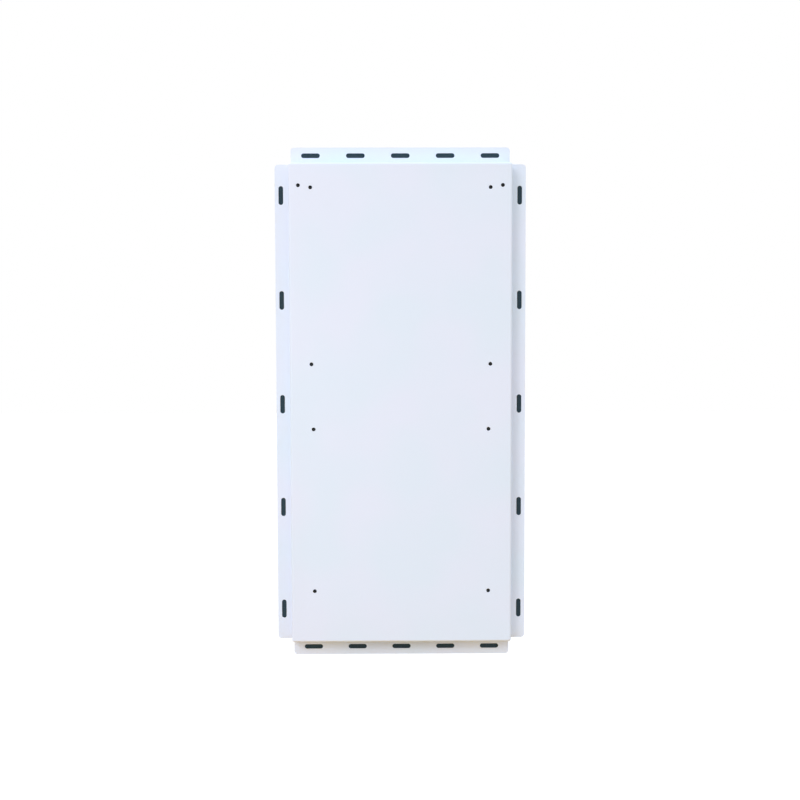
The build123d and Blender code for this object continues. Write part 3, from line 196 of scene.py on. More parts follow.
camera = add_object("camera", bpy.data.cameras.new("camera"))
bpy.context.scene.camera = camera
camera.data.sensor_width = CAMERA_SENSOR
camera.data.lens = CAMERA_LENS
camera.data.clip_end = CAMERA_FAR
camera.matrix_world = (
    Matrix.Translation(CAMERA_PLACE)
    @ Matrix.Rotation(radians(CAMERA_TURN), 4, "Z")
    @ Matrix.Rotation(radians(90 + CAMERA_TIP), 4, "X")
    @ Matrix.Rotation(radians(CAMERA_ROLL), 4, "Z")
)
bpy.context.scene.view_settings.view_transform = "Standard"


# ---- The front pan and its slotted flanges ----
# 1.5 mm steel, folded, with welded and ground seams, so that panel, walls and flanges are
# one skin. Satin powder coat covers it, with a fine orange peel and edges it has rounded.

ENAMEL_BLUE = (0.773, 0.848, 0.924, 1)
ENAMEL_LILAC = (0.803, 0.843, 0.934, 1)
COAT_EDGE = 0.22 * MM
SHARP_FROM = radians(32)
FLAT_WITHIN = radians(0.4)
SAME_POINT = 0.001 * MM
SAME_SEAM = 0.002 * MM
SKIN = ("front_pan", "flange_left", "flange_right", "flange_top", "connector_end")


class Finish(Tree):
    """A surface finish: noise and cells over the piece's own coordinates, into one shader."""

    def __init__(self, name):
        self.material = bpy.data.materials.new(name)
        self.material.use_nodes = True
        super().__init__(self.material.node_tree)
        self.shader = self.tree.nodes["Principled BSDF"]
        self.place = self.node("ShaderNodeTexCoord", out="Object")

    def stretched(self, x, y, z):
        return self.node("ShaderNodeMapping", sockets={"Vector": self.place, "Scale": (x, y, z)})

    def noise(self, scale, detail=2.0, along=None):
        return self.node("ShaderNodeTexNoise", sockets={
            "Vector": along or self.place, "Scale": scale, "Detail": detail}, out="Fac")

    def cells(self, scale, feature="F1", out="Distance"):
        return self.node("ShaderNodeTexVoronoi", {"feature": feature}, {
            "Vector": self.place, "Scale": scale}, out=out)

    def ramp(self, value, *stops):
        return self.node("ShaderNodeValToRGB", {"stops": [
            (at, (level, level, level, 1)) for at, level in stops]}, {"Fac": value})

    def tone(self, share, first, second):
        return self.node("ShaderNodeMix", {"data_type": "RGBA"}, {
            0: share, 6: first, 7: second}, out=2)

    def bump(self, height, strength, distance):
        return self.node("ShaderNodeBump", sockets={
            "Height": height, "Strength": strength, "Distance": distance})

    def surface(self, **sockets):
        for name, value in sockets.items():
            socket = self.shader.inputs[name.replace("_", " ").title().replace("Ior", "IOR")]
            if isinstance(value, Value):
                self.tree.links.new(value.socket, socket)
            else:
                socket.default_value = value
        return self.material


def powder_coat(name, first, second):
    """Satin paint in two close tones, with orange peel and an uneven gloss."""
    made = Finish(name)
    patches = made.ramp(made.noise(9, detail=1), (0.35, 0.0), (0.65, 1.0))
    peel = made.noise(620) * 0.75 + made.noise(2300) * 0.25
    dull = made.noise(34, detail=3)
    made.surface(
        base_color=made.tone(patches, first, second),
        roughness=0.34 + 0.12 * dull,
        normal=made.bump(peel, 0.16, 0.25 * MM),
        specular_ior_level=0.45,
    )
    return made


def meshed(name, form):
    """A new mesh from a form, which is used up."""
    mesh = bpy.data.meshes.new(name)
    form.to_mesh(mesh)
    form.free()
    return mesh


def joined(mesh, within):
    """A form of a mesh with its triangles joined and its flats made whole."""
    form = bmesh.new()
    form.from_mesh(mesh)
    bmesh.ops.remove_doubles(form, verts=form.verts, dist=within)
    bmesh.ops.dissolve_limit(
        form, angle_limit=FLAT_WITHIN, verts=form.verts, edges=form.edges)
    return form


def merged(node):
    """A plain mesh with a CAD node's shape."""
    return meshed(node + "_merged", joined(nodes[node].data, SAME_POINT))


def plain(piece):
    """Leaves a piece as a plain mesh with what its modifiers have made."""
    graph = bpy.context.evaluated_depsgraph_get()
    mesh = bpy.data.meshes.new_from_object(piece.evaluated_get(graph), depsgraph=graph)
    piece.modifiers.clear()
    piece.data = mesh
    return piece


def shaded(mesh, sharp_from):
    """Shades a mesh's curves smoothly, and keeps its edges from an angle on."""
    for face in mesh.polygons:
        face.use_smooth = True
    mesh.set_sharp_from_angle(angle=sharp_from)


def soften(piece, radius, steps=2):
    """Rounds a piece's sharp edges a little and shades its curves smoothly."""
    shaded(piece.data, SHARP_FROM)
    edge = piece.modifiers.new("edges", "BEVEL")
    edge.width = radius
    edge.segments = steps
    edge.limit_method = "ANGLE"
    edge.angle_limit = SHARP_FROM
    edge.harden_normals = True
    edge.use_clamp_overlap = True
    return piece


enamel = powder_coat("white_enamel", ENAMEL_BLUE, ENAMEL_LILAC)

skin = add_object("pan_skin", merged(SKIN[0]))
others = bpy.data.collections.new("flanges")
for node in SKIN[1:]:
    others.objects.link(bpy.data.objects.new(node + "_part", merged(node)))
weld = skin.modifiers.new("weld", "BOOLEAN")
weld.operation = "UNION"
weld.operand_type = "COLLECTION"
weld.collection = others
weld.solver = "EXACT"
bpy.context.view_layer.update()
plain(skin)
for part in list(others.objects):
    bpy.data.objects.remove(part)
form = joined(skin.data, SAME_SEAM)
form.to_mesh(skin.data)
form.free()
skin.data.materials.clear()
skin.data.materials.append(enamel.material)
soften(skin, COAT_EDGE)
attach(skin, "chassis")
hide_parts(*SKIN)


# ---- The wall gasket ----
# Four strips of closed-cell rubber foam, stuck behind the flanges. Their near-black colour is
# painted shade, which shows through the slots until the wall screws are in.

# The gasket's near-black, slightly teal colour is painted shade for the slots.
SLOT_SHADE_BLACK = (0.016, 0.032, 0.042, 1)
SLOT_SHADE_CELL = (0.036, 0.062, 0.076, 1)

foam = Finish("gasket_rubber")
pores = foam.cells(1100)
foam.surface(
    base_color=foam.tone(foam.ramp(pores, (0.1, 0.0), (0.7, 1.0)), SLOT_SHADE_BLACK, SLOT_SHADE_CELL),
    roughness=0.86 + 0.1 * foam.noise(300),
    normal=foam.bump(pores, 0.5, 0.3 * MM),
    specular_ior_level=0.25,
)


def coat(finish, *named):
    """Gives CAD nodes that keep their own mesh the finish of their material slot."""
    for node in named:
        nodes[node].data.materials[0] = finish.material


coat(foam, "wall_gasket")


# ---- Clinch nuts and the thread in their bores ----
# Ten M6 self-clinching nuts, pressed into the panel from behind before it was coated. Their
# shank ends are coated with the panel; the bores were plugged and stayed uncoated, and their
# walls and thread are coloured near-black as painted shade in the holes.

# Near-black bore colours: painted shade inside the holes.
BORE_SHADE = (0.030, 0.034, 0.036, 1)
BORE_SHADE_LIGHT = (0.05, 0.055, 0.058, 1)
NUT_EDGE = 0.08 * MM
M6_PITCH = 1.0 * MM
M6_MINOR = 2.46 * MM
MOUTH_RADIUS = 3.25 * MM
THREAD_SHOWN = 1.7 * MM
THREAD_RUN_OUT = 0.35


def metal(name, colour, worn, rough=0.35, grain=90, along=(1, 1, 1), polish=0.12):
    """A bare metal: two close tones in the grain's direction, and an uneven polish."""
    made = Finish(name)
    lines = made.noise(grain, detail=4, along=made.stretched(*along))
    made.surface(
        base_color=made.tone(lines, colour, worn),
        metallic=1.0,
        roughness=rough + polish * (lines - 0.5),
        normal=made.bump(lines, 0.05, 0.1 * MM),
    )
    return made


def islands(mesh):
    """The middles of a mesh's separate bodies, in the order of their places."""
    form = bmesh.new()
    form.from_mesh(mesh)
    waiting = set(form.verts)
    middles = []
    while waiting:
        rim = [waiting.pop()]
        found = list(rim)
        while rim:
            vertex = rim.pop()
            for edge in vertex.link_edges:
                other = edge.other_vert(vertex)
                if other in waiting:
                    waiting.remove(other)
                    rim.append(other)
                    found.append(other)
        low = [min(v.co[i] for v in found) for i in range(3)]
        high = [max(v.co[i] for v in found) for i in range(3)]
        middles.append((Vector(low) + Vector(high)) / 2)
    form.free()
    return sorted(middles, key=lambda middle: [round(level, 4) for level in middle])


def outward(piece):
    """Turns the faces of a closed piece to point out of it."""
    form = bmesh.new()
    form.from_mesh(piece.data)
    bmesh.ops.recalc_face_normals(form, faces=form.faces)
    form.to_mesh(piece.data)
    form.free()
    return piece


class Maker(Tree):
    """A Geometry Nodes tree with named inputs, which leaves a plain mesh."""

    def __init__(self, name, **inputs):
        self.group = bpy.data.node_groups.new(name, "GeometryNodeTree")
        super().__init__(self.group)
        asks = self.group.interface.new_socket
        asks("Geometry", in_out="INPUT", socket_type="NodeSocketGeometry")
        for label, kind in {**inputs, "material": "Material"}.items():
            asks(label, in_out="INPUT", socket_type="NodeSocket" + kind)
        asks("Geometry", in_out="OUTPUT", socket_type="NodeSocketGeometry")
        self.entry = self.group.nodes.new("NodeGroupInput")

    def given(self, label):
        return Value(self, self.entry.outputs[label])

    def item(self):
        """The shape of the object that is given as the tree's item."""
        return self.node("GeometryNodeObjectInfo", sockets={"Object": self.given("item")},
                         out="Geometry")

    def copies(self, points, shape, turn=(0, 0, 0)):
        return self.node("GeometryNodeInstanceOnPoints", sockets={
            "Points": points, "Instance": shape, "Rotation": turn})

    def leave(self, geometry):
        whole = self.node("GeometryNodeRealizeInstances", sockets={"Geometry": geometry})
        done = self.node("GeometryNodeSetMaterial", sockets={
            "Geometry": whole, "Material": self.given("material")})
        self.node("NodeGroupOutput", sockets={"Geometry": done})

    def make(self, name, places, **values):
        """A piece made from points at the places, with the tree's inputs set by name."""
        start = bpy.data.meshes.new(name)
        start.from_pydata([tuple(place) for place in places], [], [])
        piece = add_object(name, start)
        step = piece.modifiers.new("make", "NODES")
        step.node_group = self.group
        for item in self.group.interface.items_tree:
            if item.in_out == "INPUT" and item.name in values:
                step[item.identifier] = values[item.name]
        return outward(plain(piece))


thread = Maker("thread", radius="Float", pitch="Float", turns="Float", turn="Vector")
helix = thread.node("GeometryNodeCurveSpiral", sockets={
    "Resolution": 28, "Rotations": thread.given("turns"),
    "Start Radius": thread.given("radius"), "End Radius": thread.given("radius"),
    "Height": thread.given("pitch") * thread.given("turns")})
helix = thread.node("GeometryNodeSetCurveNormal", {"mode": "Z_UP"}, {"Curve": helix})
ridge = thread.node("GeometryNodeCurvePrimitiveCircle", sockets={
    "Resolution": 4, "Radius": thread.given("pitch") * 0.5})
ridge = thread.node("GeometryNodeCurveToMesh", sockets={
    "Curve": helix, "Profile Curve": ridge, "Fill Caps": True})
thread.leave(thread.copies(thread.given("Geometry"), ridge, thread.given("turn")))

# The bores' near-black finish is painted shade in the holes.
bore_painted_shade = metal("bore_painted_shade", BORE_SHADE, BORE_SHADE_LIGHT, rough=0.5)
nuts = add_object("clinch_nuts_coated", merged("clinch_nuts"))
nuts.data.materials.append(enamel.material)
nuts.data.materials.append(bore_painted_shade.material)
nut_places = islands(nuts.data)
# Bore walls near the mouths get the painted-shade bore finish.
for face in nuts.data.polygons:
    away = min((Vector((face.center.x, face.center.z)) - Vector((p.x, p.z))).length
               for p in nut_places)
    is_wall = abs(face.normal.y) < 0.9
    face.material_index = int(is_wall and away < MOUTH_RADIUS)
soften(nuts, NUT_EDGE)
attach(nuts, "chassis")
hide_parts("clinch_nuts")

nut_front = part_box("clinch_nuts")[0].y
bore_threads = thread.make(
    "bore_threads", [(p.x, nut_front + THREAD_SHOWN + M6_PITCH / 2, p.z) for p in nut_places],
    radius=M6_MINOR + M6_PITCH / 2, pitch=M6_PITCH,
    turns=THREAD_SHOWN / M6_PITCH - THREAD_RUN_OUT, turn=(radians(90), 0, 0), material=bore_painted_shade.material)
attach(bore_threads, "chassis")


# ---- Socket screws in the clinch nuts ----
# Black-oxide M6 socket cap screws from behind. They hold the module trays, the board's
# plate and the ducts, and their ends show as dark bottoms in the nuts' bores.

OXIDE = (0.020, 0.022, 0.024, 1)
OXIDE_WORN = (0.035, 0.036, 0.038, 1)

oxide = metal("black_oxide", OXIDE, OXIDE_WORN, rough=0.42)
coat(oxide, "nut_screws")


# ---- The rear plate and its welded tabs ----
# 1.5 mm galvanised sheet that closes the pan, a small gap inside its walls. It lies on
# fourteen galvanised angles, spot-welded to the walls.

ZINC_DARK = (0.44, 0.47, 0.50, 1)
ZINC_LIGHT = (0.60, 0.63, 0.65, 1)
SPANGLE = 17 * MM
SHEET_EDGE = 0.15 * MM
body_of = {node: body for body, named in frame["record"]["behaviour"]["bodies"].items()
           for node in named}


def galvanised(name, spangle):
    """Zinc that froze in crystals: each has its own tone and gloss, and fine feathering."""
    made = Finish(name)
    crystals = made.cells(1 / spangle, out="Color")
    chance = made.node("ShaderNodeSeparateColor", sockets={"Color": crystals}, out="Red")
    gloss = made.node("ShaderNodeSeparateColor", sockets={"Color": crystals}, out="Green")
    feather = made.noise(420, detail=5, along=made.stretched(1, 1, 0.25))
    made.surface(
        base_color=made.tone(chance * 0.75 + feather * 0.25, ZINC_DARK, ZINC_LIGHT),
        metallic=1.0,
        roughness=0.30 + 0.14 * gloss + 0.10 * feather,
        normal=made.bump(chance + feather * 0.4, 0.12, 0.05 * MM),
    )
    return made


def stands_for(piece, *named):
    """Hides the CAD nodes that a piece has the shape of, and puts the piece in their body so it moves as
    they do.
    """
    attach(piece, body_of[named[0]])
    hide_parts(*named)


def worked(node, finish, radius, steps=2):
    """A CAD node's own shape with its sharp edges taken off."""
    piece = add_object(node + "_worked", merged(node))
    piece.data.materials.append(finish.material)
    stands_for(soften(piece, radius, steps), node)


zinc = galvanised("zinc_spangle", SPANGLE)
worked("rear_plate", zinc, SHEET_EDGE)
coat(zinc, "rear_tabs")


# ---- Screws of the rear plate ----
# Fourteen M4 pan-head screws with hexagon sockets, bright zinc, driven by hand and so each
# stopped at its own angle.

ZINC_BRIGHT = (0.62, 0.63, 0.62, 1)
ZINC_BLUED = (0.50, 0.53, 0.57, 1)
TURNED_SHARP = radians(35)
SPIN_SEED = 14
REAR_HEAD = dict(reach=3.75 * MM, high=1.3 * MM, rounding=0.7 * MM, hexagon=1.4 * MM,
                 deep=0.9 * MM, shank=1.98 * MM, long=5.5 * MM)


def lofted(name, form, rows):
    """A mesh of the closed body through a form's equal rows of vertices."""
    sides = len(rows[0])
    for one, two in zip(rows, rows[1:]):
        for step in range(sides):
            after = (step + 1) % sides
            form.faces.new((one[step], one[after], two[after], two[step]))
    form.faces.new(rows[0])
    form.faces.new(rows[-1])
    bmesh.ops.recalc_face_normals(form, faces=form.faces)
    return meshed(name, form)


def turned(name, rings, steps=24):
    """A closed body through rings of radius, height and sides, where 0 sides is round."""
    form = bmesh.new()
    loops = []
    for radius, height, sides in rings:
        loop = []
        for step in range(steps):
            angle = tau * step / steps
            reach = radius
            if sides:
                share = tau / sides
                reach = radius * cos(share / 2) / cos(angle % share - share / 2)
            loop.append(form.verts.new((reach * cos(angle), reach * sin(angle), height)))
        loops.append(loop)
    mesh = lofted(name, form, loops)
    shaded(mesh, TURNED_SHARP)
    return mesh


def socket_head(name, reach, high, rounding, hexagon, deep, shank, long):
    """A screw that points down from its seat at height 0."""
    tip = 0.25 * shank
    mouth = 1.08 * hexagon
    bevel = 0.08 * MM
    crown = [(reach - rounding + rounding * cos(a), high - rounding + rounding * sin(a), 0)
             for a in (radians(step) for step in (0, 22.5, 45, 67.5, 90))]
    rings = [(shank - tip, -long, 0), (shank, tip - long, 0), (shank, 0, 0), (reach, 0, 0)]
    rings += crown
    rings += [(mouth, high, 6), (hexagon, high - bevel, 6), (hexagon, high - deep, 6)]
    return turned(name, rings)


def on_level(node, axis, level):
    """The middles of a CAD node's bodies, each moved along one axis to a level."""
    places = islands(merged(node))
    for place in places:
        place[axis] = level
    return places


set_out = Maker("set_out", item="Object", turn="Vector", spin="Vector")
chance = set_out.node("FunctionNodeRandomValue", {"data_type": "FLOAT_VECTOR"}, {
    "Min": (0, 0, 0), "Max": set_out.given("spin"), "Seed": SPIN_SEED})
turn = set_out.node("ShaderNodeVectorMath", {"operation": "ADD"}, {
    0: set_out.given("turn"), 1: chance})
set_out.leave(set_out.copies(set_out.given("Geometry"), set_out.item(), turn))


def laid_out(name, tree, mesh, places, **values):
    """A tree's copies of one small body at each of the places, as one plain mesh."""
    item = bpy.data.objects.new(name + "_item", mesh)
    piece = tree.make(name, places, item=item, **values)
    bpy.data.objects.remove(item)
    return piece


bright_zinc = metal("bright_zinc", ZINC_BRIGHT, ZINC_BLUED, rough=0.28, grain=500)
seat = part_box("rear_screws")[1].y - REAR_HEAD["high"]
rear_screws = laid_out(
    "rear_screws_turned", set_out, socket_head("rear_screw", **REAR_HEAD),
    on_level("rear_screws", 1, seat), turn=(radians(-90), 0, 0), spin=(0, tau, 0),
    material=bright_zinc.material)
stands_for(rear_screws, "rear_screws")


# ---- Insulation films ----
# Black flame-retardant film inside the panel and inside the rear plate, with a fine
# embossed grain.

film = Finish("insulation_film")
emboss = film.cells(900)
film.surface(
    base_color=film.tone(film.noise(20), (0.016, 0.016, 0.018, 1), (0.030, 0.030, 0.033, 1)),
    roughness=0.62 + 0.15 * film.noise(60),
    normal=film.bump(emboss, 0.3, 0.1 * MM),
    specular_ior_level=0.35,
)
coat(film, "front_insulation", "rear_insulation")


# ---- The two battery modules ----
# Each is a folded galvanised tray with four pouch cells between foam pads, under a
# screwed cover. Copper bars join the cells' tabs, and two lugs lead out at the tray's end.

FOIL = (0.66, 0.67, 0.69, 1)
FOIL_DULL = (0.52, 0.53, 0.55, 1)
COPPER = (0.78, 0.38, 0.22, 1)
COPPER_BROWN = (0.45, 0.20, 0.12, 1)
COVER_HEAD = dict(reach=2.75 * MM, high=1.4 * MM, rounding=0.5 * MM, hexagon=1.15 * MM,
                  deep=0.8 * MM, shank=1.48 * MM, long=4 * MM)


def moulded(name, colour, rough=0.45, grain=1400):
    """Plastic or rubber with its colour through it and the mould's fine grain."""
    made = Finish(name)
    fine = made.noise(grain)
    flow = made.noise(24, detail=3)
    paler = tuple(min(1.0, level * 1.3 + 0.004) for level in colour[:3]) + (1,)
    made.surface(
        base_color=made.tone(flow, colour, paler),
        roughness=rough + 0.12 * (fine - 0.5) + 0.06 * flow,
        normal=made.bump(fine, 0.16, 0.1 * MM),
        specular_ior_level=0.45,
    )
    return made


foil = Finish("pouch_foil")
creases = foil.noise(60, detail=5)
seams = foil.cells(1600)
foil.surface(
    base_color=foil.tone(creases, FOIL_DULL, FOIL),
    metallic=0.9,
    roughness=0.26 + 0.2 * creases,
    normal=foil.bump(creases + seams * 0.1, 0.35, 0.4 * MM),
)
pad_foam = moulded("pad_foam", (0.10, 0.10, 0.11, 1), rough=0.85, grain=700)
copper = metal("bright_copper", COPPER, COPPER_BROWN, rough=0.26, grain=40, polish=0.2)
coat(zinc, "tray_upper", "tray_lower", "cover_upper", "cover_lower")
coat(foil, "cells_upper", "cells_lower")
coat(pad_foam, "pads_upper", "pads_lower")
coat(copper, "busbars_upper", "busbars_lower")
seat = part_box("cover_screws")[1].y - COVER_HEAD["high"]
cover_screws = laid_out(
    "cover_screws_turned", set_out, socket_head("cover_screw", **COVER_HEAD),
    on_level("cover_screws", 1, seat), turn=(radians(-90), 0, 0), spin=(0, tau, 0),
    material=bright_zinc.material)
stands_for(cover_screws, "cover_screws")


# ---- Wire ducts ----
# Grey extruded plastic channels with clipped lids, down both sides. They show the
# extrusion's long fine lines.

duct_plastic = Finish("duct_plastic")
lines = duct_plastic.noise(900, along=duct_plastic.stretched(1, 1, 0.02))
duct_plastic.surface(
    base_color=duct_plastic.tone(lines, (0.36, 0.38, 0.40, 1), (0.42, 0.44, 0.46, 1)),
    roughness=0.42 + 0.12 * lines,
    normal=duct_plastic.bump(lines, 0.2, 0.1 * MM),
)
coat(duct_plastic, "duct_left", "duct_right", "duct_lids")


# ---- The battery-management board ----
# Green glass-epoxy laminate on brass spacers over an aluminium spreader plate, with its
# transistors, capacitors, sockets and shunt.

aluminium = metal("mill_aluminium", (0.62, 0.63, 0.65, 1), (0.74, 0.75, 0.77, 1),
                  grain=700, along=(0.03, 1, 1), rough=0.34)
brass = metal("turned_brass", (0.72, 0.52, 0.22, 1), (0.80, 0.62, 0.30, 1), grain=900)
laminate = Finish("board_laminate")
tracks = laminate.cells(420, feature="DISTANCE_TO_EDGE")
raised = laminate.ramp(tracks, (0.10, 1.0), (0.16, 0.0))
laminate.surface(
    base_color=laminate.tone(raised, (0.008, 0.075, 0.030, 1), (0.020, 0.150, 0.055, 1)),
    roughness=0.30 + 0.10 * laminate.noise(300),
    normal=laminate.bump(raised, 0.3, 0.035 * MM),
    coat_weight=0.3,
)
component = moulded("component_black", (0.018, 0.018, 0.020, 1), rough=0.38, grain=2600)
coat(aluminium, "board_plate")
coat(brass, "board_spacers")
coat(laminate, "board")
coat(component, "board_parts")
coat(bright_zinc, "board_screws")


# ---- Main fuse, relay and copper bars ----
# A ceramic cartridge fuse between copper blocks, a sealed relay, and flat copper links.
# The breaker's terminals are copper too.

ceramic = moulded("fuse_ceramic", (0.72, 0.70, 0.64, 1), rough=0.5, grain=900)
coat(ceramic, "main_fuse")
coat(component, "relay")
coat(copper, "fuse_terminals", "copper_bars", "breaker_terminals")


# ---- Battery and sense leads ----
# Stranded copper in soft insulation: red to the breaker, orange between the modules, black
# to the negative socket and to the sense plugs.

coat(moulded("lead_red", (0.50, 0.016, 0.012, 1), rough=0.5), "lead_positive")
coat(moulded("lead_orange", (0.78, 0.20, 0.014, 1), rough=0.5), "lead_link")
lead_black = moulded("lead_black", (0.012, 0.012, 0.013, 1), rough=0.5)
coat(lead_black, "lead_negative", "sense_lead_upper", "sense_lead_lower")
coat(component, "sense_plugs")


# ---- The connector bay ----
# A folded steel pocket behind the opening in the bottom wall and the plate that roofs it,
# coated with the pan. Black markings are screen-printed on the plate, read from below.

PRINT_INK = (0.020, 0.021, 0.023, 1)
INK_HIGH = 0.04 * MM
MARK_HIGH = 3.4 * MM
WORD_HIGH = 2.7 * MM
STROKE = 0.5 * MM
WORDS_OFF_SCREW = 4.3 * MM
WORDS_APART = 8 * MM
SIGN_OUT = 12.5 * MM
EARTH_OUT = 7.4 * MM
EARTH_STEM = 2.2 * MM
EARTH_BAR = 1.7 * MM
EARTH_STEP = 1.0 * MM

worked("bay_pocket", enamel, COAT_EDGE)
worked("bay_plate", enamel, COAT_EDGE)
bay_low, bay_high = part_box("bay_plate")
bay_y = (bay_low.y + bay_high.y) / 2
marks_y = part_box("bay_screws")[0].y - WORDS_OFF_SCREW


def middle_of(node):
    low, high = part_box(node)
    return (low + high) / 2


def letters(form, words, high, x, y, level):
    """Adds printed words to a form, on a downward face at a level and read from the front."""
    font = bpy.data.curves.new("letters", "FONT")
    font.body = words
    font.size = high
    font.extrude = INK_HIGH / 2
    font.align_x = "CENTER"
    font.align_y = "CENTER"
    shown = add_object("letters", font)
    bpy.context.view_layer.update()
    mesh = bpy.data.meshes.new_from_object(
        shown.evaluated_get(bpy.context.evaluated_depsgraph_get()))
    bpy.data.objects.remove(shown)
    mesh.transform(Matrix.Translation((x, y, level - INK_HIGH / 2))
                   @ Matrix.Rotation(radians(180), 4, "X"))
    form.from_mesh(mesh)
    bpy.data.meshes.remove(mesh)


def stroke(form, points, level, wide=STROKE):
    """Adds a flat printed stroke along points, on a downward face at a level."""
    rows = []
    for number, point in enumerate(points):
        before = Vector(points[max(number - 1, 0)])
        after = Vector(points[min(number + 1, len(points) - 1)])
        across = (after - before).orthogonal().normalized() * wide / 2
        rows.append([form.verts.new((point[0] + side * across.x, point[1] + side * across.y, z))
                     for z in (level, level - INK_HIGH) for side in (-1, 1)])
    for one, two in zip(rows, rows[1:]):
        for first, second in ((0, 1), (1, 3), (3, 2), (2, 0)):
            form.faces.new((one[first], one[second], two[second], two[first]))
    for row in (rows[0], rows[-1]):
        form.faces.new((row[0], row[1], row[3], row[2]))


def inked(name, form, body, finish):
    """A printed piece from a form of letters and strokes."""
    bmesh.ops.remove_doubles(form, verts=form.verts, dist=SAME_POINT)
    bmesh.ops.recalc_face_normals(form, faces=form.faces)
    mesh = meshed(name, form)
    mesh.materials.append(finish.material)
    piece = add_object(name, mesh)
    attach(piece, body)


ink = moulded("screen_print", PRINT_INK, rough=0.55, grain=2500)
breaker, positive, negative = (middle_of(node).x for node in (
    "breaker_body", "dc_socket_positive", "dc_socket_negative"))
stud = middle_of("earth_stud").x
form = bmesh.new()
letters(form, "ON", WORD_HIGH, breaker - WORDS_APART, marks_y, bay_low.z)
letters(form, "OFF", WORD_HIGH, breaker + WORDS_APART, marks_y, bay_low.z)
arm = MARK_HIGH / 2
plus, minus = positive - SIGN_OUT, negative + SIGN_OUT
for x in (plus, minus):
    stroke(form, [(x - arm, bay_y), (x + arm, bay_y)], bay_low.z)
for side in (-1, 1):
    stroke(form, [(plus, bay_y + side * STROKE / 2), (plus, bay_y + side * arm)], bay_low.z)
earth = stud + EARTH_OUT
stroke(form, [(earth, bay_y - EARTH_STEM), (earth, bay_y - STROKE / 2)], bay_low.z)
for share, step in ((1.0, 0), (0.66, 1), (0.33, 2)):
    y = bay_y + step * EARTH_STEP
    stroke(form, [(earth - share * EARTH_BAR, y), (earth + share * EARTH_BAR, y)], bay_low.z)
inked("bay_markings", form, "chassis", ink)


# ---- Battery sockets and their pins ----
# Moulded single-pole sockets, orange for plus and black for minus, with grip ribs round
# the barrel. The silver-plated pins have a louvred contact band and a touch guard.

SOCKET_RIBS = 26
SOCKET_RADIUS = 8.0 * MM
RIB_PROUD, RIB_WIDE, RIB_LONG = 0.30 * MM, 0.9 * MM, 6.5 * MM
RIB_UP = 2.4 * MM
BAND_STRIPS = 20
LOUVRE_PROUD, LOUVRE_WIDE, LOUVRE_LONG = 0.16 * MM, 0.55 * MM, 3.4 * MM
LOUVRE_UP = 2.3 * MM
PIN_RADIUS = 3.0 * MM
GUARD_RINGS = [(1.1 * MM, -0.75 * MM, 0), (1.7 * MM, -0.6 * MM, 0), (2.05 * MM, -0.25 * MM, 0),
               (2.1 * MM, 0.1 * MM, 0)]
ring = Maker("ring", item="Object", count="Int", radius="Float")
spots = ring.node("GeometryNodeMeshCircle", sockets={
    "Vertices": ring.given("count"), "Radius": ring.given("radius")})
away = ring.node("FunctionNodeAlignRotationToVector", {"axis": "X", "pivot_axis": "Z"}, {
    "Vector": ring.node("GeometryNodeInputPosition")})
ring.leave(ring.copies(ring.given("Geometry"), ring.copies(spots, ring.item(), away)))


def strip(name, proud, wide, long):
    """A long strip along Z with rounded ends and shoulders, its back at x 0."""
    form = bmesh.new()
    rows = []
    for z, share in ((0, 0.3), (0.08, 0.9), (0.2, 1), (0.8, 1), (0.92, 0.9), (1, 0.3)):
        rows.append([form.verts.new((x * proud * share, y * wide / 2, z * long))
                     for x, y in ((-0.5, -1), (0.6, -0.85), (1, -0.4), (1, 0.4), (0.6, 0.85),
                                  (-0.5, 1))])
    mesh = lofted(name, form, rows)
    for face in mesh.polygons:
        face.use_smooth = True
    return mesh


orange = moulded("socket_orange", (0.80, 0.19, 0.012, 1), rough=0.40)
black = moulded("socket_black", (0.014, 0.014, 0.016, 1), rough=0.40)
silver = metal("silver_plate", (0.80, 0.79, 0.76, 1), (0.66, 0.65, 0.62, 1), rough=0.2, grain=300)
for node, finish in (("dc_socket_positive", orange), ("dc_socket_negative", black)):
    worked(node, finish, 0.3 * MM)
    low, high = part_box(node)
    centre = (low + high) / 2
    ribs = laid_out(
        node + "_ribs", ring, strip("rib", RIB_PROUD, RIB_WIDE, RIB_LONG),
        [(centre.x, centre.y, low.z + RIB_UP)], count=SOCKET_RIBS, radius=SOCKET_RADIUS,
        material=finish.material)
    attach(ribs, "chassis")
worked("dc_contacts", silver, 0.12 * MM)
pin_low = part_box("dc_contacts")[0].z
pins = on_level("dc_contacts", 2, pin_low)
band = laid_out(
    "contact_bands", ring, strip("louvre", LOUVRE_PROUD, LOUVRE_WIDE, LOUVRE_LONG),
    [pin + Vector((0, 0, LOUVRE_UP)) for pin in pins], count=BAND_STRIPS, radius=PIN_RADIUS,
    material=silver.material)
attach(band, "chassis")
guards = laid_out("touch_guards", set_out, turned("guard", GUARD_RINGS), pins,
                  material=black.material)
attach(guards, "chassis")


# ---- Data ports ----
# Two 8-way modular sockets in black plastic, with gold-plated spring wires along the side
# away from the latch slot. Their numbers are printed in white on their front rims.

WIRES = 8
WIRE_PITCH = 1.02 * MM
WIRE_WIDE, WIRE_THICK = 0.42 * MM, 0.22 * MM
WIRE_BENDS = [(0.12 * MM, 1.2 * MM), (0.3 * MM, 1.0 * MM), (0.9 * MM, 1.6 * MM),
              (2.9 * MM, 9.2 * MM), (3.0 * MM, 10.6 * MM), (2.5 * MM, 12.6 * MM)]
WIRE_OFF_MIDDLE = 4.1 * MM
PORT_OFF_END = 8.8 * MM
PORT_MARK_HIGH = 3.0 * MM
PORT_MARK_IN = 1.85 * MM
gold = metal("gold_plate", (0.86, 0.62, 0.24, 1), (0.76, 0.52, 0.18, 1), rough=0.22, grain=600)
worked("data_ports", component, 0.2 * MM)
row = Maker("row", item="Object", count="Int", pitch="Float")
line = row.node("GeometryNodeMeshLine", sockets={
    "Count": row.given("count"), "Start Location": (0, 0, 0),
    "Offset": row.node("ShaderNodeCombineXYZ", sockets={"X": row.given("pitch")})})
row.leave(row.copies(row.given("Geometry"), row.copies(line, row.item())))


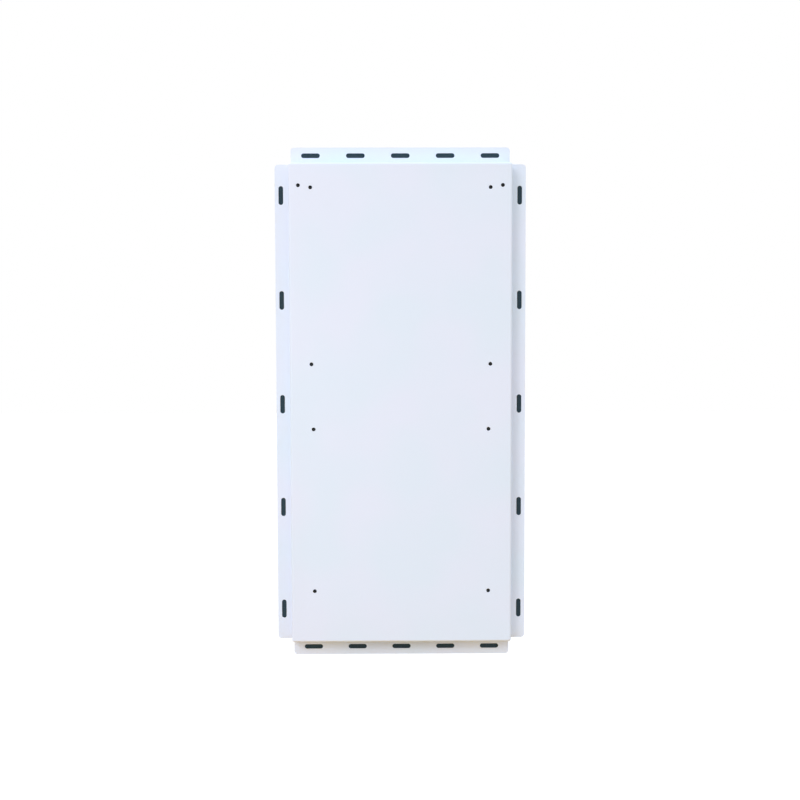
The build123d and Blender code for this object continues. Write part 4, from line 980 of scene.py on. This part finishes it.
def spring_wire(name, wide, thick, bends):
    """A flat wire bent along points of depth and height, centred on x 0."""
    form = bmesh.new()
    rows = []
    for number, (y, z) in enumerate(bends):
        y0, z0 = bends[max(number - 1, 0)]
        y1, z1 = bends[min(number + 1, len(bends) - 1)]
        along = Vector((y1 - y0, z1 - z0)).normalized()
        off = Vector((-along.y, along.x)) * thick / 2
        rows.append([form.verts.new((side * wide / 2, y + face * off.x, z + face * off.y))
                     for side, face in ((-1, -1), (1, -1), (1, 1), (-1, 1))])
    return lofted(name, form, rows)


ports_low, ports_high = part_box("data_ports")
port_x = [ports_low.x + PORT_OFF_END, ports_high.x - PORT_OFF_END]
wires = laid_out(
    "port_wires", row, spring_wire("wire", WIRE_WIDE, WIRE_THICK, WIRE_BENDS),
    [(x - WIRE_PITCH * (WIRES - 1) / 2, bay_y - WIRE_OFF_MIDDLE, ports_low.z) for x in port_x],
    count=WIRES, pitch=WIRE_PITCH, material=gold.material)
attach(wires, "chassis")
toggle_white = moulded("toggle_white", (0.74, 0.75, 0.75, 1), rough=0.30, grain=1800)
form = bmesh.new()
for number, x in enumerate(port_x, start=1):
    letters(form, str(number), PORT_MARK_HIGH, x, ports_low.y + PORT_MARK_IN, ports_low.z)
inked("port_numbers", form, "chassis", toggle_white)


# ---- The battery breaker ----
# A moulded body behind the plate, with its boss in the plate's window, and a white toggle
# that leans to OFF. Two screws with hexagon sockets hold it to the plate.

GRIP_RIDGES = 5
GRIP_PITCH = 1.15 * MM
GRIP_FROM_PIVOT = 10.4 * MM
GRIP_OUT = 2.45 * MM
RIDGE_RINGS = [(0.12 * MM, -2.5 * MM, 0), (0.28 * MM, -2.3 * MM, 0), (0.28 * MM, 2.3 * MM, 0),
               (0.12 * MM, 2.5 * MM, 0)]
TOGGLE_LEAN = radians(18)
TOGGLE_PIVOT = 4.7 * MM
BAY_HEAD = dict(reach=2.75 * MM, high=1.6 * MM, rounding=0.6 * MM, hexagon=1.15 * MM,
                deep=1.0 * MM, shank=1.48 * MM, long=8 * MM)
body_black = moulded("breaker_black", (0.020, 0.020, 0.022, 1), rough=0.5)
worked("breaker_body", body_black, 0.25 * MM)
worked("breaker_toggle", toggle_white, 0.35 * MM, steps=3)
pivot = Vector((breaker, bay_y, bay_low.z + TOGGLE_PIVOT))
down = Vector((sin(TOGGLE_LEAN), 0, -cos(TOGGLE_LEAN)))
across = Vector((-down.z, 0, down.x))
ridges = laid_out(
    "toggle_ridges", set_out, turned("ridge", RIDGE_RINGS, steps=10),
    [pivot + down * (GRIP_FROM_PIVOT + step * GRIP_PITCH) + across * side * GRIP_OUT
     for step in range(GRIP_RIDGES) for side in (-1, 1)],
    turn=(radians(90), 0, 0), material=toggle_white.material)
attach(ridges, "toggle")
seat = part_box("bay_screws")[0].z + BAY_HEAD["high"]
bay_screws = laid_out(
    "bay_screws_turned", set_out, socket_head("bay_screw", **BAY_HEAD),
    on_level("bay_screws", 2, seat), turn=(radians(180), 0, 0), spin=(0, 0, tau),
    material=oxide.material)
stands_for(bay_screws, "bay_screws")
coat(bright_zinc, "bay_nuts")


# ---- Power switch and status lens ----
# A sprung grey button in a stainless bezel, marked with the power symbol, and a clear
# green lens for the state light.

SYMBOL_RADIUS = 1.9 * MM
SYMBOL_OPEN = 38
SYMBOL_STROKE = 0.42 * MM
SYMBOL_TOP = 0.35 * MM
SYMBOL_MIDDLE = 0.4 * MM
stainless = metal("satin_stainless", (0.60, 0.60, 0.60, 1), (0.70, 0.70, 0.69, 1),
                  rough=0.26, grain=900, along=(1, 1, 0.1))
button_grey = moulded("button_grey", (0.050, 0.054, 0.058, 1), rough=0.42)
worked("switch_housing", stainless, 0.12 * MM)
worked("power_button", button_grey, 0.15 * MM)
button = middle_of("power_button")
button_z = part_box("power_button")[0].z
form = bmesh.new()
turns = [radians(step) for step in range(SYMBOL_OPEN, 361 - SYMBOL_OPEN, 12)]
stroke(form, [(button.x + SYMBOL_RADIUS * sin(a), button.y - SYMBOL_RADIUS * cos(a))
              for a in turns], button_z, wide=SYMBOL_STROKE)
stroke(form, [(button.x, button.y - SYMBOL_RADIUS - SYMBOL_TOP),
              (button.x, button.y - SYMBOL_MIDDLE)], button_z, wide=SYMBOL_STROKE)
inked("power_symbol", form, "button", toggle_white)
lens = Finish("lens_green")
ripple = lens.noise(260)
lens.surface(
    base_color=lens.tone(ripple, (0.020, 0.32, 0.10, 1), (0.035, 0.42, 0.14, 1)),
    roughness=0.12 + 0.08 * ripple,
    normal=lens.bump(ripple, 0.05, 0.1 * MM),
    transmission_weight=0.35,
    coat_weight=0.5,
)
worked("status_lens", lens, 0.25 * MM)


# ---- Earth stud ----
# An M6 stud with a collar, welded into the bay, in bright zinc. Its full rolled thread
# ends a little short of the collar.

STUD_RADIUS = 3.0 * MM
STUD_ROOT = STUD_RADIUS - M6_PITCH / 2
STUD_LONG = 13 * MM
STUD_TURNS = 11.0
THREAD_UP = 1.0 * MM
STUD_RINGS = [
    (1.9 * MM, 0, 0), (2.5 * MM, 0.6 * MM, 0), (STUD_ROOT, 1.2 * MM, 0),
    (STUD_ROOT, STUD_LONG - 1 * MM, 0), (STUD_RADIUS, STUD_LONG - 0.6 * MM, 0),
    (STUD_RADIUS, STUD_LONG, 0), (4.7 * MM, STUD_LONG, 0), (5.0 * MM, STUD_LONG + 0.3 * MM, 0),
    (5.0 * MM, STUD_LONG + 2 * MM, 0)]
stud_place = Vector((stud, bay_y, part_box("earth_stud")[0].z))
stud_core = laid_out("earth_stud_turned", set_out, turned("core", STUD_RINGS, steps=36),
                     [stud_place], material=bright_zinc.material)
stands_for(stud_core, "earth_stud")
stud_thread = thread.make(
    "earth_stud_thread", [stud_place + Vector((0, 0, THREAD_UP))],
    radius=STUD_ROOT, pitch=M6_PITCH, turns=STUD_TURNS, material=bright_zinc.material)
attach(stud_thread, "chassis")
